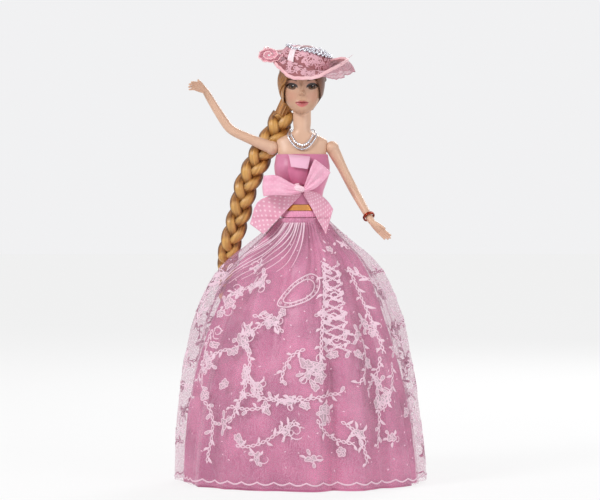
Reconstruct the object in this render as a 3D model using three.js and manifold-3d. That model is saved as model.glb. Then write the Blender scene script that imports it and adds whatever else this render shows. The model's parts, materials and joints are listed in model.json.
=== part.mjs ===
// A fashion doll in a ball gown, about 29 cm tall, with a plaited ponytail and a ruffled hat.
// Millimetres. +Z is up, the doll faces -Y, and the origin is on the floor under its middle.
// Its body is a two-part torso with a neck knob, turning and hinged shoulders, and legs on a hip axle.
import * as THREE from 'three';
import { mergeVertices } from 'three/addons/utils/BufferGeometryUtils.js';
import Module from 'manifold-3d';

const wasm = await Module();
wasm.setup();

// Heights of the body, stacked from the floor up
const legLength = 152; // floor to hip axle, in heels
const pelvisRise = 35; // hip axle to waist
const chestRise = 41.8; // waist to shoulder pins
const neckRise = 22.9; // shoulder pins to chin
const headHeight = 39.5; // chin to crown

// Half widths and half depths of the torso
const hipHalfWidth = 18;
const hipHalfDepth = 13;
const waistHalfWidth = 12;
const waistHalfDepth = 9.8;
const bustHalfWidth = 18;
const bustHalfDepth = 13;
const bustForward = 2.2; // how far the bust stands in front of the spine
const neckRadius = 6.1;
const torsoWall = 1.8;

// Joints
const fitGap = 0.3; // between pieces that touch or turn on each other
const seamGap = 0.4; // between the torso's two shells
const shoulderHalfWidth = 20.6; // middle of the body to each shoulder pin
const capRadius = 4.7; // round top of the arm
const hubRadius = 3.1;
const hubThickness = 2.8;
const hubStemRadius = 1.7;
const hubStemLength = 3.6;
const hubFlangeRadius = 2.7;
const hubFlangeThickness = 1.5;
const tongueThickness = 2.4;
const tongueRadius = 2.6;
const pinRadius = 0.8;
const pinHalfLength = 3.4;
const neckShift = 1.2; // neck axis behind the shoulder axis
const knobRadius = 4.5;
const knobHeight = 3.4;
const knobStemRadius = 2.8;
const knobFlangeRadius = 4.2;
const knobFlangeThickness = 1.6;
const knobStemDepth = 12; // how far the knob's stem goes down into the neck
const neckInHead = 6; // how far the neck goes up past the chin
const headFloor = 1.8; // vinyl between the neck and the hollow of the head
const axleRadius = 1.7;
const axleHeadRadius = 3;
const axleHeadThickness = 1.2;
const webHalfWidth = 3; // middle of the pelvis, between the legs
const hipDiscRadius = 8.4;
const hipDiscWidth = 12.6;

// Head, hair and plait
const faceHalfWidth = 14.2;
const headHalfDepth = 15.9;
const headShift = 2; // middle of the head behind the shoulder axis
const headWall = 2.3;
const noseLength = 3;
const eyeSpacing = 13.7;
const hairThickness = 2.4;
const hairlineHalfWidth = 12.4;
const plaitHalfWidth = 5.1; // the strands' swing to each side
const plaitHalfDepth = 2.5;
const strandHalfWidth = 4.1;
const strandHalfDepth = 3.1;
const plaitPitch = 37; // one strand's way back to its own side
const tieWidth = 3.4;
const tieThickness = 1;
const tuftLength = 15;

// Arms and hands
const upperArmLength = 31.5;
const forearmLength = 31.5;
const palmLength = 8.2;
const fingerLength = 9.2;
const upperArmRadius = 3.4;
const elbowRadius = 3.15;
const elbowBend = 0.28; // how far the bend cuts its corner, as a share of the way to the chord
const forearmRadius = 3.0;
const wristRadius = 2.3;
const palmHalfWidth = 3.1;
const palmHalfThickness = 1.5;
const fingerRadius = 0.95;

// Legs and shoes
const legSpread = 9.8; // middle of the body to each leg at the hip
const ankleSpread = 8.2;
const thighRadius = 8.2;
const kneeRadius = 5.5;
const calfRadius = 5.6;
const ankleRadius = 3.3;
const ankleHeight = 27;
const footReach = 17; // ankle to toe tip
const toeHeight = 3.4;
const footHalfWidth = 3.7;
const shoeWall = 0.9;
const shoeFit = 0.4; // between a foot and its shoe
const pumpLineAngle = 42; // degrees that the shoe's top edge climbs from toe to heel
const heelTipRadius = 1.3;
const heelTopRadius = 2.7;

// Gown
const clothGap = 0.4; // between the body and the cloth on it
const bodiceThickness = 0.8;
const bodiceRise = 34; // bottom of the bodice to its top edge
const armholeRadius = 7;
const beltHeight = 3.9;
const beltThickness = 0.9;
const waistbandHeight = 4.6;
const waistbandThickness = 1.1;
const hemHalfWidth = 80;
const hemHalfDepth = 62;
const satinThickness = 0.9;
const foldDepth = 2.4;
const foldCount = 12;
const tulleThickness = 0.7;
const tulleGap = 1.7; // satin to tulle at the front
const tulleSpread = 12; // how far the tulle stands off the satin at the sides
const tulleLift = 1.5; // tulle hem above the floor
const placketWidth = 6;
const placketThickness = 0.8;

// Bow
const ribbonThickness = 0.8;
const bowWidth = 50;
const knotHalfWidth = 3.6;
const knotHalfHeight = 3.4;
const knotHalfDepth = 2.6;
const loopDepth = 4; // back of a loop to its front
const cuffHalfWidth = 9.6;
const cuffDrop = 8.5;
const cuffDepth = 3.4;

// Hat
const hatRadius = 16.8;
const hatHeight = 12.8;
const hatThickness = 1;
const hatShift = 1.6; // hat's middle towards the doll's left
const hatSink = 5; // hat base below the top of the head
const brimWidth = 15;
const brimThickness = 0.8;
const ruffleDepth = 2;
const beadRadius = 0.95;
const beadWireRadius = 0.4;
const beadCount = 24;
const hatRibbonWidth = 4.2;

// Jewellery
const necklaceHalfWidth = 10;
const necklaceDrop = 12.5;
const necklaceInnerShare = 0.74; // size of the beaded line in the crescent
const necklaceWireRadius = 0.6;
const necklaceBeadRadius = 0.95;
const chainRadius = 0.4;
const bangleWireRadius = 0.6;

const overrun = 4; // how far a cutting tool runs past what it cuts

const hipZ = legLength;
const waistZ = hipZ + pelvisRise;
const shoulderZ = waistZ + chestRise;
const chinZ = shoulderZ + neckRise;
const crownZ = chinZ + headHeight;
const neckTopZ = chinZ + neckInHead;

const degrees = THREE.MathUtils.degToRad;
const lerp = THREE.MathUtils.lerp;
const xAxis = new THREE.Vector3(1, 0, 0);
const yAxis = new THREE.Vector3(0, 1, 0);
const zAxis = new THREE.Vector3(0, 0, 1);

function at(x, y, z) {
  return new THREE.Vector3(x, y, z);
}

// Materials
function finish(color, roughness, metalness = 0, more = {}) {
  return new THREE.MeshStandardMaterial({ color, roughness, metalness, side: THREE.DoubleSide, ...more });
}

const skin = finish(0xe0ac8c, 0.5);
const bodyPlastic = finish(0xd9a487, 0.45);
const stiffPlastic = finish(0xe8dccb, 0.4);
const hair = finish(0xb07a3c, 0.45);
const satin = finish(0xdb8fb4, 0.4);
const tulle = finish(0xf2d5e0, 0.6, 0, { transparent: true, opacity: 0.5 });
const ribbon = finish(0xf0a9c4, 0.45);
const lace = finish(0xe9a3b4, 0.6);
const gold = finish(0xd09a4a, 0.35, 0.8);
const silver = finish(0xd5d5da, 0.25, 0.9);
const copper = finish(0x9a4a2c, 0.4, 0.6);
const steel = finish(0xb5b5b8, 0.35, 0.8);
const pumps = finish(0xe58fb2, 0.35);
const elastic = finish(0xe27aa6, 0.6);

// Solids
function solidFrom(points, faces) {
  const numbers = new Float32Array(points.flatMap((p) => [p.x, p.y, p.z]));
  const build = (order) =>
    new wasm.Manifold(
      new wasm.Mesh({ numProp: 3, vertProperties: numbers, triVerts: new Uint32Array(order) }),
    );
  const made = build(faces);
  if (made.volume() > 0) return made;
  const turned = [];
  for (let i = 0; i < faces.length; i += 3) turned.push(faces[i], faces[i + 2], faces[i + 1]);
  return build(turned);
}

function solidOf(geometry) {
  const bare = geometry.clone();
  bare.deleteAttribute('normal');
  bare.deleteAttribute('uv');
  const merged = mergeVertices(bare);
  return new wasm.Manifold(
    new wasm.Mesh({
      numProp: 3,
      vertProperties: new Float32Array(merged.attributes.position.array),
      triVerts: new Uint32Array(merged.index.array),
    }),
  );
}

// A closed solid through rings that all have the same number of points.
function loft(rings) {
  const sides = rings[0].length;
  const points = rings.flat();
  const faces = [];
  for (let r = 0; r + 1 < rings.length; r += 1) {
    for (let s = 0; s < sides; s += 1) {
      const low = r * sides + s;
      const lowNext = r * sides + ((s + 1) % sides);
      faces.push(low, lowNext, lowNext + sides, low, lowNext + sides, low + sides);
    }
  }
  for (const first of [0, (rings.length - 1) * sides]) {
    const ring = points.slice(first, first + sides);
    const centre = ring.reduce((sum, p) => sum.add(p), at(0, 0, 0)).divideScalar(sides);
    const middle = points.push(centre) - 1;
    for (let s = 0; s < sides; s += 1) {
      const here = first + s;
      const next = first + ((s + 1) % sides);
      if (first === 0) faces.push(middle, next, here);
      else faces.push(middle, here, next);
    }
  }
  return solidFrom(points, faces);
}

// A closed solid of a cloth or ribbon sheet. pointAt takes 0 to 1 along and 0 to 1 across.
function sheet(pointAt, alongSteps, acrossSteps, thickness, round = false, levelEnds = false) {
  const columns = round ? alongSteps : alongSteps + 1;
  const rows = acrossSteps + 1;
  const small = 1e-3;
  const front = [];
  const back = [];
  for (let i = 0; i < columns; i += 1) {
    for (let j = 0; j < rows; j += 1) {
      const u = i / alongSteps;
      const v = j / acrossSteps;
      const uLow = round ? u - small : Math.max(u - small, 0);
      const uHigh = round ? u + small : Math.min(u + small, 1);
      const along = pointAt(uHigh, v).sub(pointAt(uLow, v));
      const across = pointAt(u, Math.min(v + small, 1)).sub(pointAt(u, Math.max(v - small, 0)));
      const normal = along.cross(across).normalize().multiplyScalar(thickness / 2);
      const middle = pointAt(u, v);
      if (levelEnds && (j === 0 || j === acrossSteps)) normal.z = 0;
      front.push(middle.clone().add(normal));
      back.push(middle.clone().sub(normal));
    }
  }
  const points = [...front, ...back];
  const under = front.length;
  const faces = [];
  const quad = (a, b, c, d) => faces.push(a, b, c, a, c, d);
  const spot = (i, j) => (i % columns) * rows + j;
  for (let i = 0; i < alongSteps; i += 1) {
    for (let j = 0; j < acrossSteps; j += 1) {
      quad(spot(i, j), spot(i + 1, j), spot(i + 1, j + 1), spot(i, j + 1));
      quad(spot(i, j) + under, spot(i, j + 1) + under, spot(i + 1, j + 1) + under, spot(i + 1, j) + under);
    }
    quad(spot(i + 1, 0), spot(i, 0), spot(i, 0) + under, spot(i + 1, 0) + under);
    const edge = acrossSteps;
    quad(spot(i, edge), spot(i + 1, edge), spot(i + 1, edge) + under, spot(i, edge) + under);
  }
  if (!round) {
    for (let j = 0; j < acrossSteps; j += 1) {
      quad(spot(0, j), spot(0, j + 1), spot(0, j + 1) + under, spot(0, j) + under);
      const end = alongSteps;
      quad(spot(end, j + 1), spot(end, j), spot(end, j) + under, spot(end, j + 1) + under);
    }
  }
  return solidFrom(points, faces);
}

// A closed solid along a curve. sectionAt gives its half width and half depth at a share of the way.
function limb(curve, steps, sides, sectionAt, widthWay) {
  const rings = [];
  for (let i = 0; i <= steps; i += 1) {
    const share = i / steps;
    const tangent = curve.getTangent(share);
    const wide = widthWay.clone().addScaledVector(tangent, -widthWay.dot(tangent)).normalize();
    const deep = tangent.clone().cross(wide);
    const middle = curve.getPoint(share);
    const [halfWidth, halfDepth] = sectionAt(share);
    const ring = [];
    for (let s = 0; s < sides; s += 1) {
      const angle = (2 * Math.PI * s) / sides;
      ring.push(
        middle
          .clone()
          .addScaledVector(wide, halfWidth * Math.cos(angle))
          .addScaledVector(deep, halfDepth * Math.sin(angle)),
      );
    }
    rings.push(ring);
  }
  return loft(rings);
}

// A smooth curve through rows of [position, value, value...], read at any position.
function smoothTable(rows) {
  const last = rows.length - 1;
  const slopes = rows.map((row, i) => {
    const before = rows[Math.max(i - 1, 0)];
    const after = rows[Math.min(i + 1, last)];
    return row.map((value, k) => (after[k] - before[k]) / (after[0] - before[0]));
  });
  return (position) => {
    let i = 0;
    while (i < last - 1 && position > rows[i + 1][0]) i += 1;
    const run = rows[i + 1][0] - rows[i][0];
    const t = THREE.MathUtils.clamp((position - rows[i][0]) / run, 0, 1);
    const t2 = t * t;
    const t3 = t2 * t;
    return rows[i].map(
      (value, k) =>
        (2 * t3 - 3 * t2 + 1) * value +
        (t3 - 2 * t2 + t) * run * slopes[i][k] +
        (3 * t2 - 2 * t3) * rows[i + 1][k] +
        (t3 - t2) * run * slopes[i + 1][k],
    );
  };
}

function cylinderAlong(axis, radius, from, to, sides = 14) {
  const geometry = new THREE.CylinderGeometry(radius, radius, to - from, sides);
  geometry.translate(0, (from + to) / 2, 0);
  geometry.applyQuaternion(new THREE.Quaternion().setFromUnitVectors(yAxis, axis));
  return geometry;
}

function ball(radius, middle, around = 12, down = 8) {
  return solidOf(new THREE.SphereGeometry(radius, around, down).translate(middle.x, middle.y, middle.z));
}

function box(from, to) {
  const size = to.clone().sub(from);
  const middle = from.clone().add(to).multiplyScalar(0.5);
  return solidOf(
    new THREE.BoxGeometry(size.x, size.y, size.z).translate(middle.x, middle.y, middle.z),
  );
}

function joined(solids) {
  return solids.reduce((whole, piece) => whole.add(piece));
}

function rounded(power, value) {
  return Math.sign(value) * Math.abs(value) ** power;
}

// One level ring of a rounded oval. The angle is 0 at +X and runs to +Y.
const bodyRoundness = 0.88; // 1 is an ellipse, and less is squarer
function ovalPoint(row, angle, grow = 0) {
  return at(
    (row.halfWidth + grow) * rounded(row.roundness, Math.cos(angle)),
    row.middleY + (row.halfDepth + grow) * rounded(row.roundness, Math.sin(angle)),
    row.z,
  );
}

// The front of a row at x, flattened towards its sides so that cloth can hang past them
function frontOf(row, x, lift) {
  const share = Math.min((x / row.halfWidth) ** 2, frontReachShare);
  return row.middleY - row.halfDepth * (1 - frontFalloffShare * share) - lift;
}
const frontReachShare = 1.6;
const frontFalloffShare = 0.3;

// Torso: the pelvis blends from hip to waist, and the chest from waist to bust
const pelvisShares = [
  // height above the hip axle, fullness
  [-0.19, 0.5],
  [-0.06, 0.82],
  [0.14, 1],
  [0.4, 0.88],
  [0.65, 0.5],
  [0.86, 0.14],
];
const chestShares = [
  // height above the waist, width fullness, depth fullness, forward share
  [0, 0, 0, 0],
  [0.2, 0.16, 0.1, 0.1],
  [0.42, 0.56, 0.48, 0.45],
  [0.6, 0.94, 0.95, 0.95],
  [0.7, 1, 1, 1],
  [0.82, 0.86, 0.7, 0.6],
];
const shoulderShares = [
  // height above the shoulder pins as a share of the neck's rise, shares of bust half width and depth,
  // and how far the row's middle stands forward, as a share of the bust's
  [-0.16, 0.92, 0.72, 0.45],
  [0, 0.95, 0.6, 0.14],
  [0.16, 0.97, 0.5, 0],
  [0.25, 0.93, 0.46, -0.15],
  [0.33, 0.76, 0.45, -0.35],
  [0.41, 0.54, 0.46, -0.5],
];
const neckShares = [0.51, 0.75, 1.26]; // heights of the neck's rings, as shares of the neck's rise

const torsoRows = [
  ...pelvisShares.map(([height, full]) => [
    hipZ + height * pelvisRise,
    lerp(waistHalfWidth, hipHalfWidth, full),
    lerp(waistHalfDepth, hipHalfDepth, full),
    0,
    bodyRoundness,
  ]),
  ...chestShares.map(([height, wide, deep, forward]) => [
    waistZ + height * chestRise,
    lerp(waistHalfWidth, bustHalfWidth, wide),
    lerp(waistHalfDepth, bustHalfDepth, deep),
    -forward * bustForward,
    bodyRoundness,
  ]),
  ...shoulderShares.map(([height, wide, deep, forward]) => [
    shoulderZ + height * neckRise,
    wide * bustHalfWidth,
    deep * bustHalfDepth,
    -forward * bustForward,
    bodyRoundness,
  ]),
  ...neckShares.map((height) => [
    shoulderZ + height * neckRise, neckRadius, neckRadius, neckShift, 1,
  ]),
];
const torsoTable = smoothTable(torsoRows);

function torsoAt(z) {
  const [, halfWidth, halfDepth, middleY, roundness] = torsoTable(z);
  return { z, halfWidth, halfDepth, middleY, roundness };
}

function ovalLoft(heights, rowAt, sides, grow = 0) {
  return loft(
    heights.map((z) =>
      Array.from({ length: sides }, (_, s) => ovalPoint(rowAt(z), (2 * Math.PI * s) / sides, grow)),
    ),
  );
}

function steppedHeights(from, to, steps) {
  return Array.from({ length: steps + 1 }, (_, i) => lerp(from, to, i / steps));
}

const torsoSides = 16;
const torsoHeights = [...torsoRows.map((row) => row[0]).slice(0, -1), neckTopZ - fitGap];
const hollowShares = [0.5, 1.9]; // bottom and top of the torso's hollow, as shares of the pelvis's rise

// What turns in the torso: the shoulder hubs
const hubFace = shoulderHalfWidth - capRadius - fitGap; // outer face of a hub, from the middle
const hubSteps = [
  [hubRadius, hubThickness],
  [hubStemRadius, hubStemLength],
  [hubFlangeRadius, hubFlangeThickness],
];

function steppedRod(steps, from, direction, grow, sides = 14) {
  let start = from;
  return joined(
    steps.map(([radius, length], i) => {
      const end = start + direction * length;
      const low = Math.min(start, end) - grow;
      const high = Math.max(start, end) + grow;
      start = end;
      return solidOf(cylinderAlong(xAxis, radius + grow, low, high, sides));
    }),
  ).translate([0, 0, shoulderZ]);
}

function shoulderHub(side) {
  const body = steppedRod(hubSteps, side * hubFace, -side, 0);
  const pinX = side * shoulderHalfWidth;
  const innerX = side * (hubFace - hubThickness / 2);
  const tongue = box(
    at(Math.min(pinX, innerX), -tongueThickness / 2, shoulderZ - tongueRadius),
    at(Math.max(pinX, innerX), tongueThickness / 2, shoulderZ + tongueRadius),
  );
  const end = solidOf(
    cylinderAlong(yAxis, tongueRadius, -tongueThickness / 2, tongueThickness / 2),
  ).translate([pinX, 0, shoulderZ]);
  const bore = solidOf(
    cylinderAlong(yAxis, pinRadius + fitGap, -overrun, overrun, 10),
  ).translate([pinX, 0, shoulderZ]);
  return joined([body, tongue, end]).subtract(bore);
}

function shoulderPin(side) {
  return solidOf(cylinderAlong(yAxis, pinRadius, -pinHalfLength, pinHalfLength, 10)).translate([
    side * shoulderHalfWidth,
    0,
    shoulderZ,
  ]);
}

// The knob that the head turns on, turned from its stem's lower flange up
const knobTopZ = neckTopZ + headFloor + fitGap + knobHeight + fitGap;
function knobOutline(grow) {
  const flangeZ = neckTopZ - knobStemDepth;
  const knobZ = knobTopZ - knobHeight;
  return [
    [0, flangeZ - grow],
    [knobFlangeRadius + grow, flangeZ - grow],
    [knobFlangeRadius + grow, flangeZ + knobFlangeThickness + grow],
    [knobStemRadius + grow, flangeZ + knobFlangeThickness + grow],
    [knobStemRadius + grow, knobZ - grow],
    [knobRadius + grow, knobZ - grow],
    [knobRadius + grow, knobZ + knobHeight / 2],
    [knobStemRadius + grow, knobTopZ + grow],
    [0, knobTopZ + grow],
  ];
}

function turned(outline, sides) {
  const geometry = new THREE.LatheGeometry(
    outline.map(([radius, height]) => new THREE.Vector2(radius, height)),
    sides,
  );
  geometry.rotateX(Math.PI / 2);
  return solidOf(geometry);
}

function neckKnob(grow = 0) {
  return turned(knobOutline(grow), 14).translate([0, neckShift, 0]);
}

// Hip axle with a head on each end
const axleHalfLength = webHalfWidth + fitGap + hipDiscWidth + fitGap;
function hipAxle() {
  const rod = solidOf(cylinderAlong(xAxis, axleRadius, -axleHalfLength, axleHalfLength));
  const heads = [-1, 1].map((side) => {
    const inner = side * axleHalfLength;
    const outer = side * (axleHalfLength + axleHeadThickness);
    return solidOf(
      cylinderAlong(xAxis, axleHeadRadius, Math.min(inner, outer), Math.max(inner, outer)),
    );
  });
  return joined([rod, ...heads]).translate([0, 0, hipZ]);
}

function wholeTorso() {
  const outside = ovalLoft(torsoHeights, torsoAt, torsoSides);
  const hollow = ovalLoft(
    steppedHeights(hipZ + hollowShares[0] * pelvisRise, hipZ + hollowShares[1] * pelvisRise, 5),
    torsoAt,
    torsoSides,
    -torsoWall,
  );
  const wide = hipHalfWidth + overrun;
  const legRooms = [-1, 1].flatMap((side) => {
    const inner = side * webHalfWidth;
    const outer = side * wide;
    const low = Math.min(inner, outer);
    const high = Math.max(inner, outer);
    return [
      solidOf(cylinderAlong(xAxis, hipDiscRadius + 2 * fitGap, low, high)).translate([0, 0, hipZ]),
      box(at(low, -wide, hipZ - pelvisRise), at(high, wide, hipZ)),
    ];
  });
  const axleRoom = solidOf(
    cylinderAlong(xAxis, axleRadius + fitGap, -axleHalfLength, axleHalfLength),
  ).translate([0, 0, hipZ]);
  const shoulderRooms = [-1, 1].flatMap((side) => [
    steppedRod([[hubRadius, hubThickness + capRadius], ...hubSteps.slice(1)],
      side * (hubFace + capRadius), -side, fitGap),
    ball(capRadius + 2 * fitGap, at(side * shoulderHalfWidth, 0, shoulderZ), 16, 10),
  ]);
  const rooms = joined([hollow, ...legRooms, axleRoom, ...shoulderRooms, neckKnob(fitGap)]);
  return outside.subtract(rooms);
}

const torso = wholeTorso();
const half = hipHalfWidth * 2;
const tall = crownZ + overrun;
const torsoFront = torso.intersect(box(at(-half, -half, 0), at(half, -seamGap / 2, tall)));
const torsoBack = torso.intersect(box(at(-half, seamGap / 2, 0), at(half, half, tall)));

// Arms: the points that the middle of each arm runs through, from angles and lengths
function armRoute(side, upperWay, forearmWay, handWay) {
  const shoulder = at(side * shoulderHalfWidth, 0, shoulderZ);
  const elbow = shoulder.clone().addScaledVector(upperWay, upperArmLength);
  const wrist = elbow.clone().addScaledVector(forearmWay, forearmLength);
  const knuckles = wrist.clone().addScaledVector(handWay, palmLength);
  return { shoulder, elbow, wrist, knuckles, upperWay, forearmWay, handWay };
}

function way(x, y, z) {
  return at(x, y, z).normalize();
}

function inFrontView(angle, forward) {
  return way(Math.cos(degrees(angle)), forward, Math.sin(degrees(angle)));
}

const rightArmRoute = armRoute(
  -1, inFrontView(158, -0.05), inFrontView(121, -0.12), inFrontView(150, -1.0));
const leftArmRoute = armRoute(
  1, inFrontView(-63, 0.06), inFrontView(-61, -0.72), inFrontView(-46, -0.2));

const armSection = smoothTable([
  [0, capRadius * 0.93],
  [0.1, (upperArmRadius + capRadius) / 2],
  [0.24, upperArmRadius],
  [0.52, elbowRadius],
  [0.66, forearmRadius],
  [0.86, (forearmRadius + wristRadius) / 2],
  [1, wristRadius],
]);

function hand(route, palmWay, thumbSide, curl) {
  const across = palmWay;
  const start = route.wrist.clone().addScaledVector(route.forearmWay, -wristRadius);
  const palmCurve = new THREE.CatmullRomCurve3([start, route.wrist, route.knuckles]);
  const palmSection = smoothTable([
    [0, wristRadius * 0.9, wristRadius * 0.9],
    [0.3, wristRadius, wristRadius * 0.85],
    [0.7, palmHalfWidth, palmHalfThickness],
    [1, palmHalfWidth, palmHalfThickness * 0.8],
  ]);
  const palm = limb(palmCurve, 4, 8, (share) => palmSection(share).slice(1), across);
  const away = route.handWay.clone().cross(across).normalize();
  const fingers = [-1, -0.33, 0.33, 1].map((place) => {
    const root = route.knuckles
      .clone()
      .addScaledVector(across, place * (palmHalfWidth - fingerRadius))
      .addScaledVector(route.handWay, -fingerRadius);
    const spread = route.handWay.clone().addScaledVector(across, place * 0.06).add(curl).normalize();
    const reach = fingerLength * (1 - 0.12 * Math.abs(place));
    const tip = root
      .clone()
      .addScaledVector(spread, reach)
      .addScaledVector(away, reach * 0.12);
    return limb(new THREE.LineCurve3(root, tip), 1, 4, (share) => {
      const radius = fingerRadius * (1 - 0.35 * share);
      return [radius, radius];
    }, across);
  });
  const thumbRoot = route.wrist
    .clone()
    .addScaledVector(route.handWay, palmLength * 0.3)
    .addScaledVector(across, thumbSide * palmHalfWidth * 0.5);
  const thumbWay = route.handWay.clone().addScaledVector(across, thumbSide * 0.34).normalize();
  const thumbTip = thumbRoot.clone().addScaledVector(thumbWay, fingerLength * 0.85);
  const thumb = limb(new THREE.LineCurve3(thumbRoot, thumbTip), 1, 4, (share) => {
    const radius = fingerRadius * (1.15 - 0.4 * share);
    return [radius, radius];
  }, across);
  return joined([palm, ...fingers, thumb]);
}

function arm(side, route, palmWay, thumbSide, curl) {
  const above = route.shoulder.clone().lerp(route.elbow, 0.55);
  const below = route.elbow.clone().lerp(route.wrist, 0.5);
  const bend = route.elbow.clone().lerp(above.clone().lerp(below, 0.5), elbowBend);
  const curve = new THREE.CatmullRomCurve3([
    route.shoulder.clone(),
    above,
    bend,
    below,
    route.wrist,
  ], false, 'catmullrom', 0.4);
  const sleeve = limb(curve, 10, 10, (share) => {
    const radius = armSection(share)[1];
    return [radius, radius];
  }, yAxis);
  const cap = ball(capRadius, route.shoulder, 14, 10);
  // The slot that the hub's tongue turns in, open on the side away from the arm
  const slotHalf = tongueThickness / 2 + fitGap;
  const reach = capRadius + overrun;
  const slot = box(
    at(-reach, -slotHalf, -tongueRadius - 2 * fitGap),
    at(reach, slotHalf, reach),
  );
  const flat = Math.hypot(route.upperWay.x, route.upperWay.z);
  const turn = Math.atan2(-route.upperWay.x / flat, -route.upperWay.z / flat);
  const placedSlot = slot
    .rotate([0, THREE.MathUtils.radToDeg(turn), 0])
    .translate([route.shoulder.x, route.shoulder.y, route.shoulder.z]);
  const bore = solidOf(
    cylinderAlong(yAxis, pinRadius + fitGap, -pinHalfLength - fitGap, pinHalfLength + fitGap, 10),
  ).translate([route.shoulder.x, 0, route.shoulder.z]);
  return joined([sleeve, cap, hand(route, palmWay, thumbSide, curl)]).subtract(placedSlot).subtract(bore);
}

// Head: level rings whose front runs down to a chin that stands forward of the neck
const headShares = [
  // height above the chin, half width, front and back of the ring, as shares of the face and head sizes
  [0.008, 0.2, 0.82, -0.48],
  [0.05, 0.42, 0.9, -0.12],
  [0.12, 0.61, 0.955, 0.25],
  [0.2, 0.755, 0.97, 0.58],
  [0.3, 0.86, 0.965, 0.83],
  [0.4, 0.93, 0.96, 0.95],
  [0.5, 0.98, 0.965, 1],
  [0.6, 1, 0.97, 1.0],
  [0.7, 0.99, 0.95, 0.98],
  [0.8, 0.92, 0.86, 0.9],
  [0.9, 0.74, 0.66, 0.7],
  [0.965, 0.46, 0.4, 0.44],
  [0.995, 0.14, 0.12, 0.13],
];
const headTable = smoothTable(headShares);

function headAt(z, grow = 0) {
  const share = (z - chinZ + grow) / (headHeight + 2 * grow);
  const [, wide, front, back] = headTable(share);
  const frontY = headShift - headHalfDepth * front;
  const backY = headShift + headHalfDepth * back;
  return {
    z,
    halfWidth: faceHalfWidth * wide + grow,
    halfDepth: (backY - frontY) / 2 + grow,
    middleY: (backY + frontY) / 2,
    roundness: bodyRoundness,
  };
}

function bump(x, z, middleX, middleZ, halfX, halfZ) {
  return Math.exp(-(((x - middleX) / halfX) ** 2) - ((z - middleZ) / halfZ) ** 2);
}

// How far the face stands forward of the plain ring: nose, lips, chin and eye sockets
function faceRelief(x, z) {
  const eyeX = eyeSpacing / 2;
  const up = (share) => chinZ + share * headHeight;
  const size = (share) => share * headHeight;
  const nose = bump(x, z, 0, up(0.36), size(0.045), size(0.035)) * noseLength;
  const bridge = bump(x, z, 0, up(0.44), size(0.036), size(0.075)) * noseLength * 0.5;
  const lips = bump(x, z, 0, up(0.19), size(0.085), size(0.04)) * noseLength * 0.36;
  const chin = bump(x, z, 0, up(0.07), size(0.09), size(0.05)) * noseLength * 0.25;
  const sockets =
    (bump(x, z, -eyeX, up(0.49), size(0.1), size(0.06)) +
      bump(x, z, eyeX, up(0.49), size(0.1), size(0.06))) * noseLength * 0.3;
  return nose + bridge + lips + chin - sockets;
}

function faceAngle(share) {
  const s = 2 * share - 1;
  return -Math.PI / 2 + Math.PI * (0.42 * s + 0.58 * s ** 3);
}

function headShape(grow, sides, heights, relief) {
  return loft(
    heights.map((z) =>
      Array.from({ length: sides }, (_, s) => {
        const angle = faceAngle(s / sides);
        const point = ovalPoint(headAt(z, grow), angle);
        if (relief && point.y < 0) point.y -= faceRelief(point.x, z);
        return point;
      }),
    ),
  );
}

const headSides = 20;
const headRings = steppedHeights(0.008, 0.992, 13);
function headHeights(grow, shares) {
  return shares.map((share) => chinZ - grow + share * (headHeight + 2 * grow));
}

function vinylHead() {
  const outside = headShape(0, headSides, headHeights(0, headRings), true);
  const floorZ = neckTopZ + headFloor;
  const coarse = steppedHeights(0.02, 0.98, 7);
  const hollow = headShape(-headWall, 12, headHeights(-headWall, coarse), false).intersect(
    box(at(-half, -half, floorZ), at(half, half, tall)),
  );
  const neckHole = turned(
    [
      [0, shoulderZ],
      [neckRadius + fitGap, shoulderZ],
      [neckRadius + fitGap, neckTopZ],
      [knobStemRadius + 2 * fitGap, neckTopZ],
      [knobStemRadius + 2 * fitGap, floorZ + overrun / 2],
      [0, floorZ + overrun / 2],
    ],
    24,
  ).translate([0, neckShift, 0]);
  return outside.subtract(hollow).subtract(neckHole);
}

// Hair: a cap over the skull, open at the face, gathered behind the doll's right ear
const hairShares = steppedHeights(0.06, 0.99, 8);
const hairFit = 0.4; // between the head and the hair's net
const gatherRoute = [
  // shares of the face half width, the head's half depth and the head's height
  [-0.35, 0.62, 0.42],
  [-0.72, 0.62, 0.2],
  [-0.98, 0.62, 0.02],
];
const gatherPoints = gatherRoute.map(([x, y, z]) =>
  at(x * faceHalfWidth, headShift + y * headHalfDepth, chinZ + z * headHeight));

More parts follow.
